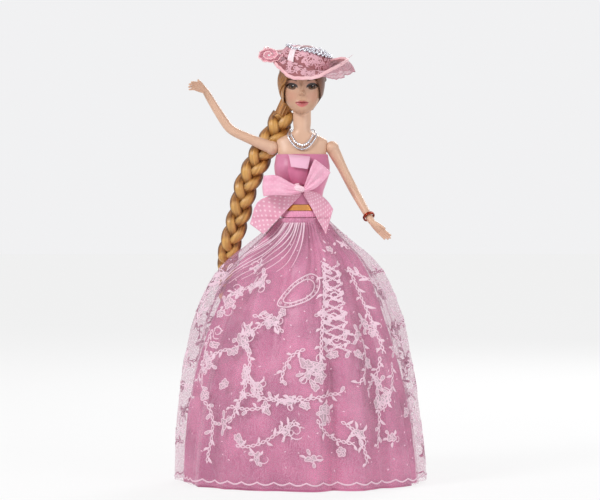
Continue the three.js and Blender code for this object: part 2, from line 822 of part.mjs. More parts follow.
function hairCap(grow = 0) {
  const outside = headShape(hairThickness + grow, 16, headHeights(hairThickness + grow, hairShares), false);
  const route = [...gatherPoints];
  const endWay = route[2].clone().sub(route[1]).normalize();
  route[2] = route[2].clone().addScaledVector(endWay, grow);
  const gather = limb(new THREE.CatmullRomCurve3(route), 5, 10, (share) => {
    const radius = lerp(hairThickness * 3, strandHalfWidth * 1.5, share) + grow;
    return [radius, radius * 0.8];
  }, yAxis);
  if (grow > 0) return joined([outside, gather]);
  const skull = headShape(hairFit, headSides, headHeights(hairFit, headRings), false);
  const faceMiddle = chinZ + headHeight * 0.3;
  const faceTop = headHeight * 0.47;
  const faceSide = hairlineHalfWidth;
  const face = new THREE.Shape();
  face.absellipse(0, faceMiddle, faceSide, faceTop, 0, Math.PI, false);
  face.lineTo(-faceSide, shoulderZ);
  face.lineTo(faceSide, shoulderZ);
  const faceDepth = headHalfDepth + overrun;
  const faceCut = solidOf(
    new THREE.ExtrudeGeometry(face, { depth: faceDepth, bevelEnabled: false, curveSegments: 18 })
      .rotateX(Math.PI / 2),
  ).translate([0, headShift, 0]);
  const throat = box(
    at(-half, -half, shoulderZ),
    at(half, headShift + headHalfDepth * 0.15, chinZ + headHeight * 0.2),
  );
  const neckRoom = solidOf(
    cylinderAlong(zAxis, neckRadius + 2 * fitGap, shoulderZ, neckTopZ),
  ).translate([0, neckShift, 0]);
  // Drawn to the doll's right, so the hair's edge runs up from the nape to the left ear
  const napeWay = way(-0.82, 0, 0.57);
  const ear = at(faceHalfWidth * 1.16, 0, chinZ + headHeight * 0.41);
  return joined([outside, gather])
    .subtract(joined([skull, faceCut, throat, neckRoom]))
    .trimByPlane(napeWay.toArray(), napeWay.dot(ear));
}

// Gown: each piece follows the torso, or the gown's own bell
const beltTopZ = waistZ + beltHeight * 0.75;
const beltLowZ = beltTopZ - beltHeight;
const waistbandTopZ = beltLowZ - fitGap;
const waistbandLowZ = waistbandTopZ - waistbandHeight;
const skirtTopZ = waistbandLowZ - fitGap;
const bodiceLowZ = beltTopZ + fitGap;

function bandAround(heights, gap, thickness) {
  return sheet((u, v) => {
    const place = v * (heights.length - 1);
    const low = Math.min(Math.floor(place), heights.length - 2);
    const z = lerp(heights[low], heights[low + 1], place - low);
    return ovalPoint(torsoAt(z), 2 * Math.PI * u, gap + thickness / 2);
  }, torsoSides, heights.length - 1, thickness, true, true);
}

const bodiceTopZ = bodiceLowZ + bodiceRise;
const bodiceHeights = [
  bodiceLowZ,
  ...torsoHeights.filter((z) => z > bodiceLowZ + clothGap && z < bodiceTopZ - clothGap),
  bodiceTopZ,
];
const armholes = joined([-1, 1].map((side) =>
  ball(armholeRadius, at(side * shoulderHalfWidth, 0, shoulderZ), 20, 12)));
const bodice = bandAround(bodiceHeights, clothGap, bodiceThickness).subtract(armholes);
const belt = bandAround(
  steppedHeights(beltLowZ, beltTopZ, 2), clothGap + fitGap, beltThickness);
const waistband = bandAround(
  steppedHeights(waistbandLowZ, waistbandTopZ, 2), clothGap, waistbandThickness);

// The hook-and-loop strip that closes the bodice down the back
function placket() {
  const lift = clothGap + bodiceThickness + clothGap + placketThickness / 2;
  const heights = bodiceHeights.slice(0, -2);
  return sheet((u, v) => {
    const place = v * (heights.length - 1);
    const low = Math.min(Math.floor(place), heights.length - 2);
    const row = torsoAt(lerp(heights[low], heights[low + 1], place - low));
    return at((u - 0.5) * placketWidth, row.middleY + row.halfDepth + lift, row.z);
  }, 2, heights.length - 1, placketThickness);
}

const bellShares = [
  // share of the drop from waist to hem, share of the spread from waist to hem
  [0, 0],
  [0.05, 0.08],
  [0.1, 0.2],
  [0.15, 0.345],
  [0.22, 0.48],
  [0.32, 0.615],
  [0.44, 0.74],
  [0.59, 0.86],
  [0.76, 0.945],
  [0.9, 0.985],
  [1, 1],
];
const foldShares = [
  [0, 0.12],
  [0.08, 0.55],
  [0.2, 1],
  [0.5, 0.85],
  [1, 0.7],
];
const standShares = [
  // how far the tulle stands off at the sides
  [0, 0],
  [0.1, 0.5],
  [0.22, 0.88],
  [0.38, 1],
  [0.5, 0.8],
  [0.67, 0.58],
  [0.84, 0.46],
  [1, 0.4],
];
const bellTable = smoothTable(bellShares);
const foldTable = smoothTable(foldShares);
const standTable = smoothTable(standShares);
const skirtTop = torsoAt(skirtTopZ);

function gownPoint(angle, drop, layerGap, spread) {
  const flare = bellTable(drop)[1];
  const fold = foldTable(drop)[1] * foldDepth * Math.cos(foldCount * angle) * (1 + 0.3 * Math.cos(4 * angle));
  const start = clothGap + satinThickness + fitGap + foldDepth * 0.2;
  const stand = standTable(drop)[1] * spread * Math.cos(angle) ** 2;
  const halfWidth = lerp(skirtTop.halfWidth + start, hemHalfWidth - foldDepth, flare);
  const halfDepth = lerp(skirtTop.halfDepth + start, hemHalfDepth - foldDepth, flare);
  const grow = fold + layerGap + stand;
  return at(
    (halfWidth + grow) * Math.cos(angle),
    (halfDepth + grow) * Math.sin(angle),
    skirtTopZ * (1 - drop),
  );
}

const skirtColumns = foldCount * 3;
const dropSteps = [0, 0.08, 0.18, 0.32, 0.5, 0.74, 1];
const dropTable = smoothTable(dropSteps.map((drop, i) => [i / (dropSteps.length - 1), drop]));

function gownLayer(layerGap, spread, thickness, lift) {
  const lowest = 1 - lift / skirtTopZ;
  return sheet(
    (u, v) => gownPoint(2 * Math.PI * u, dropTable(v)[1] * lowest, layerGap, spread),
    skirtColumns, dropSteps.length - 1, thickness, true, true);
}

const satinSkirt = gownLayer(0, 0, satinThickness, 0);
const tulleSkirt = gownLayer(tulleGap, tulleSpread, tulleThickness, tulleLift);

// Plait: its route keeps behind the raised arm, then outside the tulle
const plaitEndZ = legLength * 0.82;
const plaitShares = [
  // share of the way down from the gather to the plait's end, share of the reach to the doll's right
  [0, 0],
  [0.06, 0.03],
  [0.113, 0.13],
  [0.176, 0.27],
  [0.238, 0.4],
  [0.293, 0.485],
  [0.355, 0.585],
  [0.42, 0.66],
  [0.5, 0.72],
  [0.56, 0.77],
  [0.65, 0.86],
  [0.74, 0.944],
  [0.87, 0.985],
  [1, 1],
];
const plaitStart = gatherPoints[2];
const plaitReach = hemHalfWidth * 0.66;
const plaitClear = plaitHalfDepth + strandHalfDepth + 2 * fitGap;

function behindGown(x, z) {
  const drop = THREE.MathUtils.clamp(1 - z / skirtTopZ, 0, 1);
  const side = gownPoint(0, drop, tulleGap, tulleSpread).x + foldDepth + plaitHalfWidth + strandHalfWidth;
  const back = gownPoint(Math.PI / 2, drop, tulleGap, tulleSpread).y + foldDepth + plaitClear;
  return back * Math.sqrt(1 - Math.min(Math.abs(x / side), 1) ** 2);
}

const plaitPoints = plaitShares.map(([down, out]) => {
  const x = plaitStart.x - out * (plaitReach + plaitStart.x);
  const z = lerp(plaitStart.z, plaitEndZ, down);
  const behindArm = capRadius - 0.6 + plaitClear;
  const y = z < skirtTopZ ? Math.max(behindArm, behindGown(x, z)) : behindArm;
  return at(x, lerp(plaitStart.y, y, Math.min(down * 8, 1)), z);
});
const plaitCurve = new THREE.CatmullRomCurve3(plaitPoints, false, 'centripetal');
const plaitLength = plaitCurve.getLength();
const plaitWidthWay = xAxis;

function strand(phase) {
  const steps = Math.round((plaitLength / plaitPitch) * 6);
  const rings = [];
  const sides = 4;
  const middleAt = (share) => {
    const tangent = plaitCurve.getTangentAt(share);
    const wide = plaitWidthWay.clone().addScaledVector(tangent, -plaitWidthWay.dot(tangent)).normalize();
    const deep = tangent.clone().cross(wide);
    const turn = (2 * Math.PI * share * plaitLength) / plaitPitch + phase;
    const taper = 1 - 0.35 * share ** 2;
    return {
      wide,
      deep,
      taper,
      middle: plaitCurve
        .getPointAt(share)
        .addScaledVector(wide, plaitHalfWidth * taper * Math.cos(turn))
        .addScaledVector(deep, plaitHalfDepth * taper * Math.sin(2 * turn)),
    };
  };
  for (let i = 0; i <= steps; i += 1) {
    const { wide, deep, taper, middle } = middleAt(i / steps);
    rings.push(
      Array.from({ length: sides }, (_, s) => {
        const angle = (2 * Math.PI * s) / sides;
        return middle
          .clone()
          .addScaledVector(wide, strandHalfWidth * taper * Math.cos(angle))
          .addScaledVector(deep, strandHalfDepth * taper * Math.sin(angle));
      }),
    );
  }
  return loft(rings);
}

const plaitEnd = plaitCurve.getPointAt(1);
const plaitEndWay = plaitCurve.getTangentAt(1);
const tieRadius = strandHalfWidth * 1.15;

function plait() {
  const strands = joined([0, 1, 2].map((k) => strand((2 * Math.PI * k) / 3)));
  const tieRoom = alongPlaitEnd(tieRadius + plaitHalfWidth, -tieWidth / 2 - fitGap, tuftLength);
  const neck = alongPlaitEnd(tieRadius - tieThickness - fitGap, -tieWidth, tieWidth / 2);
  return strands.subtract(hairCap(fitGap)).subtract(tieRoom).add(neck);
}

function alongPlaitEnd(radius, from, to, sides = 16) {
  return solidOf(cylinderAlong(plaitEndWay, radius, from, to, sides)).translate([
    plaitEnd.x, plaitEnd.y, plaitEnd.z,
  ]);
}

function plaitTie() {
  return alongPlaitEnd(tieRadius, -tieWidth / 2, tieWidth / 2).subtract(
    alongPlaitEnd(tieRadius - tieThickness, -tieWidth, tieWidth),
  );
}

function plaitTuft() {
  const start = plaitEnd.clone().addScaledVector(plaitEndWay, tieWidth / 2 + fitGap);
  const finish = start.clone().addScaledVector(plaitEndWay, tuftLength);
  const tuftTable = smoothTable([
    [0, tieRadius - tieThickness],
    [0.35, tieRadius],
    [0.8, tieRadius * 0.8],
    [1, tieRadius * 0.25],
  ]);
  return limb(new THREE.LineCurve3(start, finish), 6, 10, (share) => {
    const radius = tuftTable(share)[1];
    return [radius, radius * 0.75];
  }, xAxis);
}

// Bow on the front of the bodice, tied round a pinched knot
const knotZ = bodiceLowZ + bodiceRise * 0.285;
const bodiceFront = torsoAt(knotZ).middleY - torsoAt(knotZ).halfDepth - clothGap - bodiceThickness;
const knotMiddle = at(-knotHalfWidth * 0.15, bodiceFront - 2 * fitGap - knotHalfDepth, knotZ);

function bowKnot(grow) {
  return solidOf(new THREE.SphereGeometry(1, 14, 8).rotateX(Math.PI / 2))
    .scale([knotHalfWidth + grow, knotHalfDepth + grow, knotHalfHeight + grow])
    .translate([knotMiddle.x, knotMiddle.y, knotMiddle.z]);
}

const knotRoom = bowKnot(fitGap);

// The front of the gown's outermost cloth at a place on the front view
function clothFront(x, z, lift) {
  if (z >= skirtTopZ) return frontOf(torsoAt(z), x, clothGap + waistbandThickness + fitGap + lift);
  const drop = 1 - z / skirtTopZ;
  const side = gownPoint(0, drop, tulleGap, tulleSpread);
  const front = gownPoint(-Math.PI / 2, drop, tulleGap, tulleSpread);
  const folds = foldDepth * (1 - foldTable(drop)[1] * Math.cos((foldCount * Math.PI) / 2));
  const row = { halfWidth: side.x, halfDepth: -front.y, middleY: 0 };
  return frontOf(row, x, 2 * fitGap + ribbonThickness + folds * 0.5 + lift);
}

// Stations of a ribbon piece: share of its length, then its lower and upper edge as x and z shares of
// the bow's width from the knot
function ribbonStation(stations) {
  const table = smoothTable(stations);
  return (along, across) => {
    const [, lowX, lowZ, highX, highZ] = table(along);
    return [
      knotMiddle.x + lerp(lowX, highX, across) * bowWidth,
      knotMiddle.z + lerp(lowZ, highZ, across) * bowWidth,
    ];
  };
}

const loopRightShares = [
  [0, -0.03, -0.04, -0.03, 0.045],
  [0.3, -0.16, -0.068, -0.14, 0.09],
  [0.65, -0.36, -0.07, -0.34, 0.195],
  [1, -0.52, -0.085, -0.515, 0.195],
];
const loopLeftShares = [
  [0, 0.03, -0.03, 0.03, 0.05],
  [0.35, 0.17, 0.02, 0.085, 0.21],
  [0.7, 0.29, 0.12, 0.125, 0.325],
  [1, 0.385, 0.235, 0.165, 0.415],
];
const tailRightShares = [
  [0, -0.01, -0.06, -0.03, 0.02],
  [0.3, -0.14, -0.2, -0.3, -0.035],
  [0.65, -0.33, -0.4, -0.6, -0.16],
  [1, -0.52, -0.6, -0.71, -0.46],
];
const tailLeftShares = [
  [0, 0.02, -0.06, 0.04, 0],
  [0.35, 0.12, -0.23, 0.2, -0.035],
  [0.7, 0.23, -0.43, 0.34, -0.14],
  [1, 0.325, -0.595, 0.425, -0.26],
];

// A loop runs out along its back, turns at its end and comes back along its front
function bowLoop(shares, stand) {
  const spot = ribbonStation(shares);
  const turnTable = smoothTable([
    [0, 0, 0.3],
    [0.22, 0.5, 0.05],
    [0.44, 0.96, 0.12],
    [0.5, 1, 0.5],
    [0.56, 0.96, 0.88],
    [0.78, 0.5, 1],
    [1, 0, 0.75],
  ]);
  return sheet((u, v) => {
    const [, reach, deep] = turnTable(u);
    const [x, z] = spot(reach, v);
    const back = clothFront(x, z, stand + ribbonThickness);
    return at(x, lerp(back, Math.min(back, knotMiddle.y) - loopDepth, deep), z);
  }, 14, 3, ribbonThickness).subtract(knotRoom);
}

function bowTail(shares) {
  const spot = ribbonStation(shares);
  return sheet((u, v) => {
    const [x, z] = spot(u, v);
    return at(x, clothFront(x, z, ribbonThickness * 0.8), z);
  }, 7, 4, ribbonThickness).subtract(knotRoom);
}

// The third loop stands up the front of the bust and folds over as a cuff
function bowCuff() {
  const topZ = bodiceTopZ - fitGap;
  const rootZ = knotZ + knotHalfHeight;
  const cuffTable = smoothTable([
    // share along, rise from the knot to the top, stand in front of the bodice, left and right edges
    [0, 0, 0.1, -0.35, 0.1],
    [0.25, 0.35, 0.05, -0.8, 0.2],
    [0.55, 0.88, 0.05, -1, 0.5],
    [0.68, 1, 0.45, -1, 0.55],
    [0.8, 0.92, 1, -0.92, 0.55],
    [1, 1 - cuffDrop / (topZ - rootZ), 0.85, -0.78, 0.42],
  ]);
  return sheet((u, v) => {
    const [, rise, stand, left, right] = cuffTable(u);
    const z = lerp(rootZ, topZ, rise);
    const x = lerp(left, right, v) * cuffHalfWidth;
    const lift = clothGap + bodiceThickness + fitGap + ribbonThickness + stand * cuffDepth;
    return at(x, frontOf(torsoAt(z), x, lift), z);
  }, 12, 4, ribbonThickness).subtract(knotRoom);
}

// Hat, made level about its own middle, then tilted onto the head
const hatTilt = new THREE.Euler(degrees(8), degrees(20), 0);
const hatMiddle = at(hatShift, headShift / 2, crownZ - hatSink);

function placeHat(solid) {
  const turn = new THREE.Matrix4().makeRotationFromEuler(hatTilt).setPosition(hatMiddle);
  return solid.transform(turn.elements);
}

const hatShares = [
  // radius and height of the crown's outline
  [1, -0.08],
  [1, 0.25],
  [0.96, 0.55],
  [0.84, 0.8],
  [0.55, 0.95],
  [0, 1],
];

function hatCrown() {
  const outside = hatShares.map(([r, h]) => [r * hatRadius, h * hatHeight]);
  const inside = hatShares.map(([r, h]) => [
    Math.max(r * hatRadius - hatThickness, 0),
    h * hatHeight - (h > 0 ? hatThickness * h : 0),
  ]);
  inside[inside.length - 1][1] = hatHeight - hatThickness;
  return placeHat(turned([...outside, ...inside.reverse(), outside[0]], 20)).subtract(hairCap(fitGap));
}

const brimShares = [
  // sixteen places round the brim from the doll's left: reach and drop shares
  [0.85, 1.2], [0.92, 1.15], [0.92, 0.8], [1, 0.3], [1, -0.05], [1.05, 0.1], [0.95, -0.05], [0.98, 0.1],
  [0.95, -0.1], [0.85, -0.4], [0.58, -0.4], [0.6, -0.5], [0.62, -0.45], [0.62, -0.17], [0.68, 0.35], [0.8, 1],
];
const brimCurve = new THREE.CatmullRomCurve3(
  brimShares.map(([reach, drop], i) => at(reach, drop, i)), true);
const brimReach = Array.from({ length: brimShares.length * 4 }, (_, i) =>
  brimCurve.getPoint(i / (brimShares.length * 4)));

function brimAt(u) {
  const place = (((u % 1) + 1) % 1) * brimReach.length;
  const low = Math.floor(place) % brimReach.length;
  const high = (low + 1) % brimReach.length;
  const share = place - Math.floor(place);
  return brimReach[low].clone().lerp(brimReach[high], share);
}

function hatBrim() {
  return placeHat(
    sheet((u, v) => {
      const angle = 2 * Math.PI * u;
      const { x: reach, y: drop } = brimAt(u);
      const ruffle = Math.cos(brimShares.length * angle) * ruffleDepth * v * v * 0.5;
      const radius = hatRadius + fitGap + brimThickness / 2 + v * reach * brimWidth;
      const height = drop * brimWidth * v ** 1.3 + ruffle;
      return at(radius * Math.cos(angle), radius * Math.sin(angle), height);
    }, brimShares.length * 3, 2, brimThickness, true),
  ).subtract(hairCap(fitGap));
}

function hatBeads() {
  const ringRadius = hatRadius * 0.84 + beadRadius + fitGap;
  const ringHeight = hatHeight * 0.8 + beadRadius * 0.8;
  return placeHat(beadedRing(ringRadius, beadCount).translate([0, 0, ringHeight]));
}

// Beads threaded on a ring, each pinched to the wire at its ends
function beadedRing(ringRadius, count) {
  const sides = 4;
  const rings = count * 2;
  const points = [];
  const faces = [];
  for (let r = 0; r < rings; r += 1) {
    const angle = (2 * Math.PI * r) / rings;
    const radius = r % 2 === 0 ? beadRadius : beadWireRadius;
    for (let s = 0; s < sides; s += 1) {
      const turn = (2 * Math.PI * s) / sides;
      const reach = ringRadius + radius * Math.cos(turn);
      points.push(at(reach * Math.cos(angle), reach * Math.sin(angle), radius * Math.sin(turn)));
      const here = r * sides + s;
      const beside = r * sides + ((s + 1) % sides);
      const step = ((r + 1) % rings) * sides - r * sides;
      faces.push(here, here + step, beside + step, here, beside + step, beside);
    }
  }
  return solidFrom(points, faces);
}

function hatRibbon() {
  const start = -0.64; // turns round the crown, in front of the doll's right eye
  const rows = [[0, 0.1], [0.25, 0.25], [0.75, 0.55], [1, 0.7]];
  const outlineTable = (height) => {
    const row = hatShares.findIndex(([, h]) => h >= height);
    const [lowR, lowH] = hatShares[row - 1];
    const [highR, highH] = hatShares[row];
    return lerp(lowR, highR, (height - lowH) / (highH - lowH));
  };
  const heightTable = smoothTable(rows);
  return placeHat(
    sheet((u, v) => {
      const height = heightTable(v)[1];
      const radius = outlineTable(height) * hatRadius + fitGap * 2 + ribbonThickness / 2;
      const angle = -Math.PI / 2 + start + ((u - 0.5) * hatRibbonWidth) / hatRadius;
      return at(radius * Math.cos(angle), radius * Math.sin(angle), height * hatHeight);
    }, 3, 5, ribbonThickness),
  ).subtract(hatBrimRoom());
}

function hatBrimRoom() {
  return placeHat(
    solidOf(cylinderAlong(zAxis, hatRadius + brimWidth, -hatHeight, brimThickness * 1.3, 30)));
}

// Necklace: a crescent of wire with a beaded line inside it, and a chain behind the neck
function onChest(x, z, lift) {
  const row = torsoAt(z - lift);
  const share = Math.min(Math.abs(x) / (row.halfWidth + lift), 1);
  const depth = (row.halfDepth + lift) * (1 - share ** (2 / row.roundness)) ** (row.roundness / 2);
  return at(x, row.middleY - depth, z);
}

const necklaceShares = [
  // place along from the middle, reach to the side, drop
  [0, 0, 1],
  [0.2, 0.3, 0.93],
  [0.4, 0.57, 0.76],
  [0.6, 0.8, 0.52],
  [0.8, 0.97, 0.24],
  [1, 0.88, 0],
];

function necklace() {
  const topZ = shoulderZ + neckRise * 0.49;
  const lift = necklaceWireRadius + 2 * fitGap;
  const necklaceTable = smoothTable(necklaceShares);
  const drape = (size, ends) =>
    new THREE.CatmullRomCurve3(
      Array.from({ length: 13 }, (_, i) => {
        const place = i / 6 - 1;
        const [, reach, drop] = necklaceTable(Math.abs(place) * ends);
        return onChest(
          Math.sign(place) * reach * necklaceHalfWidth * size, topZ - drop * necklaceDrop * size, lift);
      }),
    );
  const outer = drape(1, 1);
  const inner = drape(necklaceInnerShare, 0.85);
  const wire = limb(outer, 10, 4, () => [necklaceWireRadius, necklaceWireRadius], zAxis);
  const line = limb(
    new THREE.CatmullRomCurve3([outer.getPoint(0.06), ...inner.getPoints(8), outer.getPoint(0.94)]),
    8, 3, () => [chainRadius, chainRadius], zAxis);
  const beads = steppedHeights(0.1, 0.9, 4).map((share) =>
    ball(necklaceBeadRadius, inner.getPoint(share), 5, 4));
  const ends = [outer.getPoint(0), outer.getPoint(1)];
  const back = limb(
    new THREE.CatmullRomCurve3([
      ends[1],
      at(neckRadius + lift * 1.6, neckShift, topZ + lift),
      at(neckRadius * 0.7 + lift, neckShift + neckRadius * 0.8 + lift, topZ + lift),
      at(0, neckShift + neckRadius + lift * 1.5, topZ + lift),
      at(-neckRadius * 0.7 - lift, neckShift + neckRadius * 0.8 + lift, topZ + lift),
      at(-neckRadius - lift * 1.6, neckShift, topZ + lift),
      ends[0],
    ]),
    8, 3, () => [chainRadius, chainRadius], zAxis);
  return joined([wire, line, ...beads, back]);
}

// Bangles: two rings round the doll's left wrist, joined at one side
const bangleShare = 0.84; // place along the forearm
function bangle() {
  const route = leftArmRoute;
  const middle = route.elbow.clone().lerp(route.wrist, bangleShare);
  const ringRadius = lerp(elbowRadius, wristRadius, bangleShare) + bangleWireRadius + fitGap * 2;
  const ring = (shift) =>
    solidOf(
      new THREE.TorusGeometry(ringRadius, bangleWireRadius, 4, 12)
        .applyQuaternion(new THREE.Quaternion().setFromUnitVectors(zAxis, route.forearmWay)),
    ).translate([
      middle.x + shift * route.forearmWay.x,
      middle.y + shift * route.forearmWay.y,
      middle.z + shift * route.forearmWay.z,
    ]);
  return joined([ring(-bangleWireRadius * 0.8), ring(bangleWireRadius * 0.8)]);
}

// Legs: a round disc on the hip axle, a thigh, a knee, a calf and a pointed foot
const legRowShares = [
  // height share of the way from ankle to hip axle, outward share from ankle to hip
  [0, 0], [0.07, 0.02], [0.18, 0.08], [0.3, 0.16], [0.44, 0.3], [0.56, 0.42], [0.72, 0.62], [0.88, 0.85], [0.955, 0.95],
];
const legGirths = [
  [ankleRadius, ankleRadius],
  [ankleRadius * 1.06, ankleRadius * 1.12],
  [calfRadius * 0.86, calfRadius * 0.92],
  [calfRadius, calfRadius * 1.08],
  [kneeRadius, kneeRadius],
  [kneeRadius * 1.06, kneeRadius * 1.08],
  [thighRadius * 0.86, thighRadius * 0.88],
  [thighRadius * 0.97, thighRadius],
  [hipDiscWidth * 0.49, hipDiscRadius],
];

function legMiddle(side, share, z) {
  return at(side * lerp(ankleSpread, legSpread, share), 0, z);
}

const footTable = smoothTable([
  // share from ankle to toe, forward share of the reach, height share of the ankle, width and depth shares
  [0, 0, 1, 0.88, 0.9],
  [0.25, 0.06, 0.8, 0.95, 1],
  [0.5, 0.3, 0.47, 0.95, 0.9],
  [0.75, 0.62, 0.17, 1, 0.62],
  [0.92, 0.88, 0.12, 0.72, 0.42],
  [1, 1, 0.11, 0.3, 0.2],
]);

function footShape(side, grow) {
  const points = steppedHeights(0, 1, 8).map((share) => {
    const [, forward, height] = footTable(share);
    return at(side * ankleSpread, -forward * footReach, toeHeight * 0.1 + height * ankleHeight);
  });
  const foot = limb(new THREE.CatmullRomCurve3(points), 7, 10, (share) => {
    const [, , , wide, deep] = footTable(share);
    return [wide * footHalfWidth + grow, deep * footHalfWidth + grow];
  }, xAxis);
  const toe = ball(footHalfWidth * 0.3 + grow, points[points.length - 1], 8, 6);
  const heel = ball(
    footHalfWidth * 0.92 + grow, at(side * ankleSpread, ankleRadius * 0.75, ankleHeight * 0.66), 10, 6);
  return joined([foot, toe, heel]);
}

const legSides = 10;
function leg(side) {
  const rings = legRowShares.map(([height, out], i) => {
    const z = lerp(ankleHeight, hipZ, height);
    const middle = legMiddle(side, out, z);
    const [wide, deep] = legGirths[i];
    return Array.from({ length: legSides }, (_, s) => {
      const angle = (2 * Math.PI * s) / legSides;
      return middle.clone().add(at(wide * Math.cos(angle), deep * Math.sin(angle), 0));
    });
  });
  const discInner = side * (webHalfWidth + fitGap);
  const discOuter = side * (webHalfWidth + fitGap + hipDiscWidth);
  const disc = solidOf(
    cylinderAlong(xAxis, hipDiscRadius, Math.min(discInner, discOuter), Math.max(discInner, discOuter), 14),
  ).translate([0, 0, hipZ]);
  const bore = solidOf(
    cylinderAlong(xAxis, axleRadius + fitGap, -hipHalfWidth - overrun, hipHalfWidth + overrun),
  ).translate([0, 0, hipZ]);
  return joined([loft(rings), disc, footShape(side, 0)]).subtract(bore);
}

function shoe(side) {
  const shell = footShape(side, shoeWall + shoeFit);
  // A pump: open above a line that runs from behind the heel to just above the toes
  const topLine = box(at(-half, -half, 0), at(half, half, tall))
    .rotate([pumpLineAngle, 0, 0])
    .translate([0, -footReach * 0.72, toeHeight * 1.7]);
  const sole = solidOf(new THREE.CylinderGeometry(1, 1, toeHeight, 14).rotateX(Math.PI / 2))
    .scale([footHalfWidth * 0.8, footReach * 0.3, 1])
    .translate([side * ankleSpread, -footReach * 0.68, toeHeight / 2]);
  const heel = solidOf(
    new THREE.CylinderGeometry(heelTopRadius, heelTipRadius, ankleHeight * 0.62, 10).rotateX(Math.PI / 2),
  ).translate([side * ankleSpread, ankleRadius, ankleHeight * 0.31]);
  return joined([shell.subtract(topLine), sole, heel])
    .subtract(footShape(side, shoeFit))
    .intersect(box(at(-half, -half, 0), at(half, half, ankleHeight)));
}

// The doll
const doll = new THREE.Group();

function place(name, solid, material) {
  const made = solid.getMesh();
  const geometry = new THREE.BufferGeometry();
  geometry.setAttribute('position', new THREE.BufferAttribute(new Float32Array(made.vertProperties), 3));
  geometry.setIndex([...made.triVerts]);
  geometry.computeVertexNormals();
  const mesh = new THREE.Mesh(geometry, material);
  mesh.name = name;
  doll.add(mesh);
  return mesh;
}

place('torso_front', torsoFront, bodyPlastic);
place('torso_back', torsoBack, bodyPlastic);
place('neck_knob', neckKnob(), stiffPlastic);
place('head', vinylHead(), skin);
place('hair_cap', hairCap(), hair);
place('plait', plait(), hair);
place('plait_tie', plaitTie(), elastic);
place('plait_tuft', plaitTuft(), hair);
place('shoulder_hub_right', shoulderHub(-1), stiffPlastic);
place('shoulder_hub_left', shoulderHub(1), stiffPlastic);
place('shoulder_pin_right', shoulderPin(-1), steel);
place('shoulder_pin_left', shoulderPin(1), steel);
place('arm_right', arm(-1, rightArmRoute, way(0.35, -0.2, 0.9), 1, at(0.05, 0, -0.3)), skin);
place('arm_left', arm(1, leftArmRoute, way(0.5, -0.5, 0.5), 1, at(0.1, -0.1, 0)), skin);
place('hip_axle', hipAxle(), steel);
place('leg_right', leg(-1), skin);
place('leg_left', leg(1), skin);
place('shoe_right', shoe(-1), pumps);
place('shoe_left', shoe(1), pumps);
place('bodice', bodice, satin);
place('bodice_placket', placket(), satin);
place('belt', belt, gold);
place('waistband', waistband, satin);
place('skirt_satin', satinSkirt, satin);
place('skirt_tulle', tulleSkirt, tulle);
place('bow_knot', bowKnot(0), ribbon);
place('bow_cuff', bowCuff(), ribbon);
place('bow_loop_right', bowLoop(loopRightShares, ribbonThickness * 2), ribbon);
place('bow_loop_left', bowLoop(loopLeftShares, ribbonThickness * 1.6), ribbon);
place('bow_tail_right', bowTail(tailRightShares), ribbon);
place('bow_tail_left', bowTail(tailLeftShares), ribbon);
place('hat_crown', hatCrown(), lace);
place('hat_brim', hatBrim(), lace);
place('hat_beads', hatBeads(), silver);
place('hat_ribbon', hatRibbon(), ribbon);
place('necklace', necklace(), silver);
place('bangle', bangle(), copper);

export default doll;
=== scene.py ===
import bisect
import json
import math
import random
import bpy
from mathutils import Euler, Matrix, Vector, noise

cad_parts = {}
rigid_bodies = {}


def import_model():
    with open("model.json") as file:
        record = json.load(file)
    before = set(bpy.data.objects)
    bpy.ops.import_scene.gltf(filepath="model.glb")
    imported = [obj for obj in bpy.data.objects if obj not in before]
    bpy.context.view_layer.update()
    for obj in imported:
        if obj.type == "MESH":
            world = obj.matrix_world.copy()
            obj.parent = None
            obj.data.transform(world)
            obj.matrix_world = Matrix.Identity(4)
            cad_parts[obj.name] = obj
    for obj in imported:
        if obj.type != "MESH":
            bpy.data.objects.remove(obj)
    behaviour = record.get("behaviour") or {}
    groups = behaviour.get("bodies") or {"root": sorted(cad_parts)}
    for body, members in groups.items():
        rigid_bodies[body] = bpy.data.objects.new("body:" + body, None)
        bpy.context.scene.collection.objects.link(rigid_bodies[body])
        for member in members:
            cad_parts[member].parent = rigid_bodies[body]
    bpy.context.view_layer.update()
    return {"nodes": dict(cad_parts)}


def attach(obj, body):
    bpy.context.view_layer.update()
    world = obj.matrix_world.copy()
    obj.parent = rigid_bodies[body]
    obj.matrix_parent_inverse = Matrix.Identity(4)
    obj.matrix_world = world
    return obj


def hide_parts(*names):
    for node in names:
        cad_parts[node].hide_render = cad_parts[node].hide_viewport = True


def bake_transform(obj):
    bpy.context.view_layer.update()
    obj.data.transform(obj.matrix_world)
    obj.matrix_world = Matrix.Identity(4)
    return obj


for leftover in list(bpy.data.objects):
    bpy.data.objects.remove(leftover)
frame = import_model()
mm = 0.001
tau = 2 * math.pi
xAxis, yAxis, zAxis = Vector((1, 0, 0)), Vector((0, 1, 0)), Vector((0, 0, 1))


# Small sums
def lerp(a, b, t):
    return a + (b - a) * t


def clamp(value, low=0.0, high=1.0):
    return min(max(value, low), high)


def ease(value, low, high):
    t = clamp((value - low) / (high - low))
    return t * t * (3 - 2 * t)


def hump(x, z, midX, midZ, wide, tall):
    return math.exp(-((x - midX) / wide) ** 2 - ((z - midZ) / tall) ** 2)


def rounded(power, value):
    return math.copysign(abs(value) ** power, value)


def onCircle(angle, radius, z=0.0):
    return Vector((radius * math.cos(angle), radius * math.sin(angle), z))


def noiseRound(angle, scale, height):  # soft noise that closes on itself round the piece
    return noise.noise(onCircle(angle, scale, height))


def halved(below, low, high, tries):  # the place from which below is no longer true
    for _ in range(tries):
        middle = (low + high) / 2
        low, high = (middle, high) if below(middle) else (low, middle)
    return low


def curveShares(t):  # what two ends and the slopes at them count for between them
    t2, t3 = t * t, t * t * t
    return 2 * t3 - 3 * t2 + 1, t3 - 2 * t2 + t, 3 * t2 - 2 * t3, t3 - t2


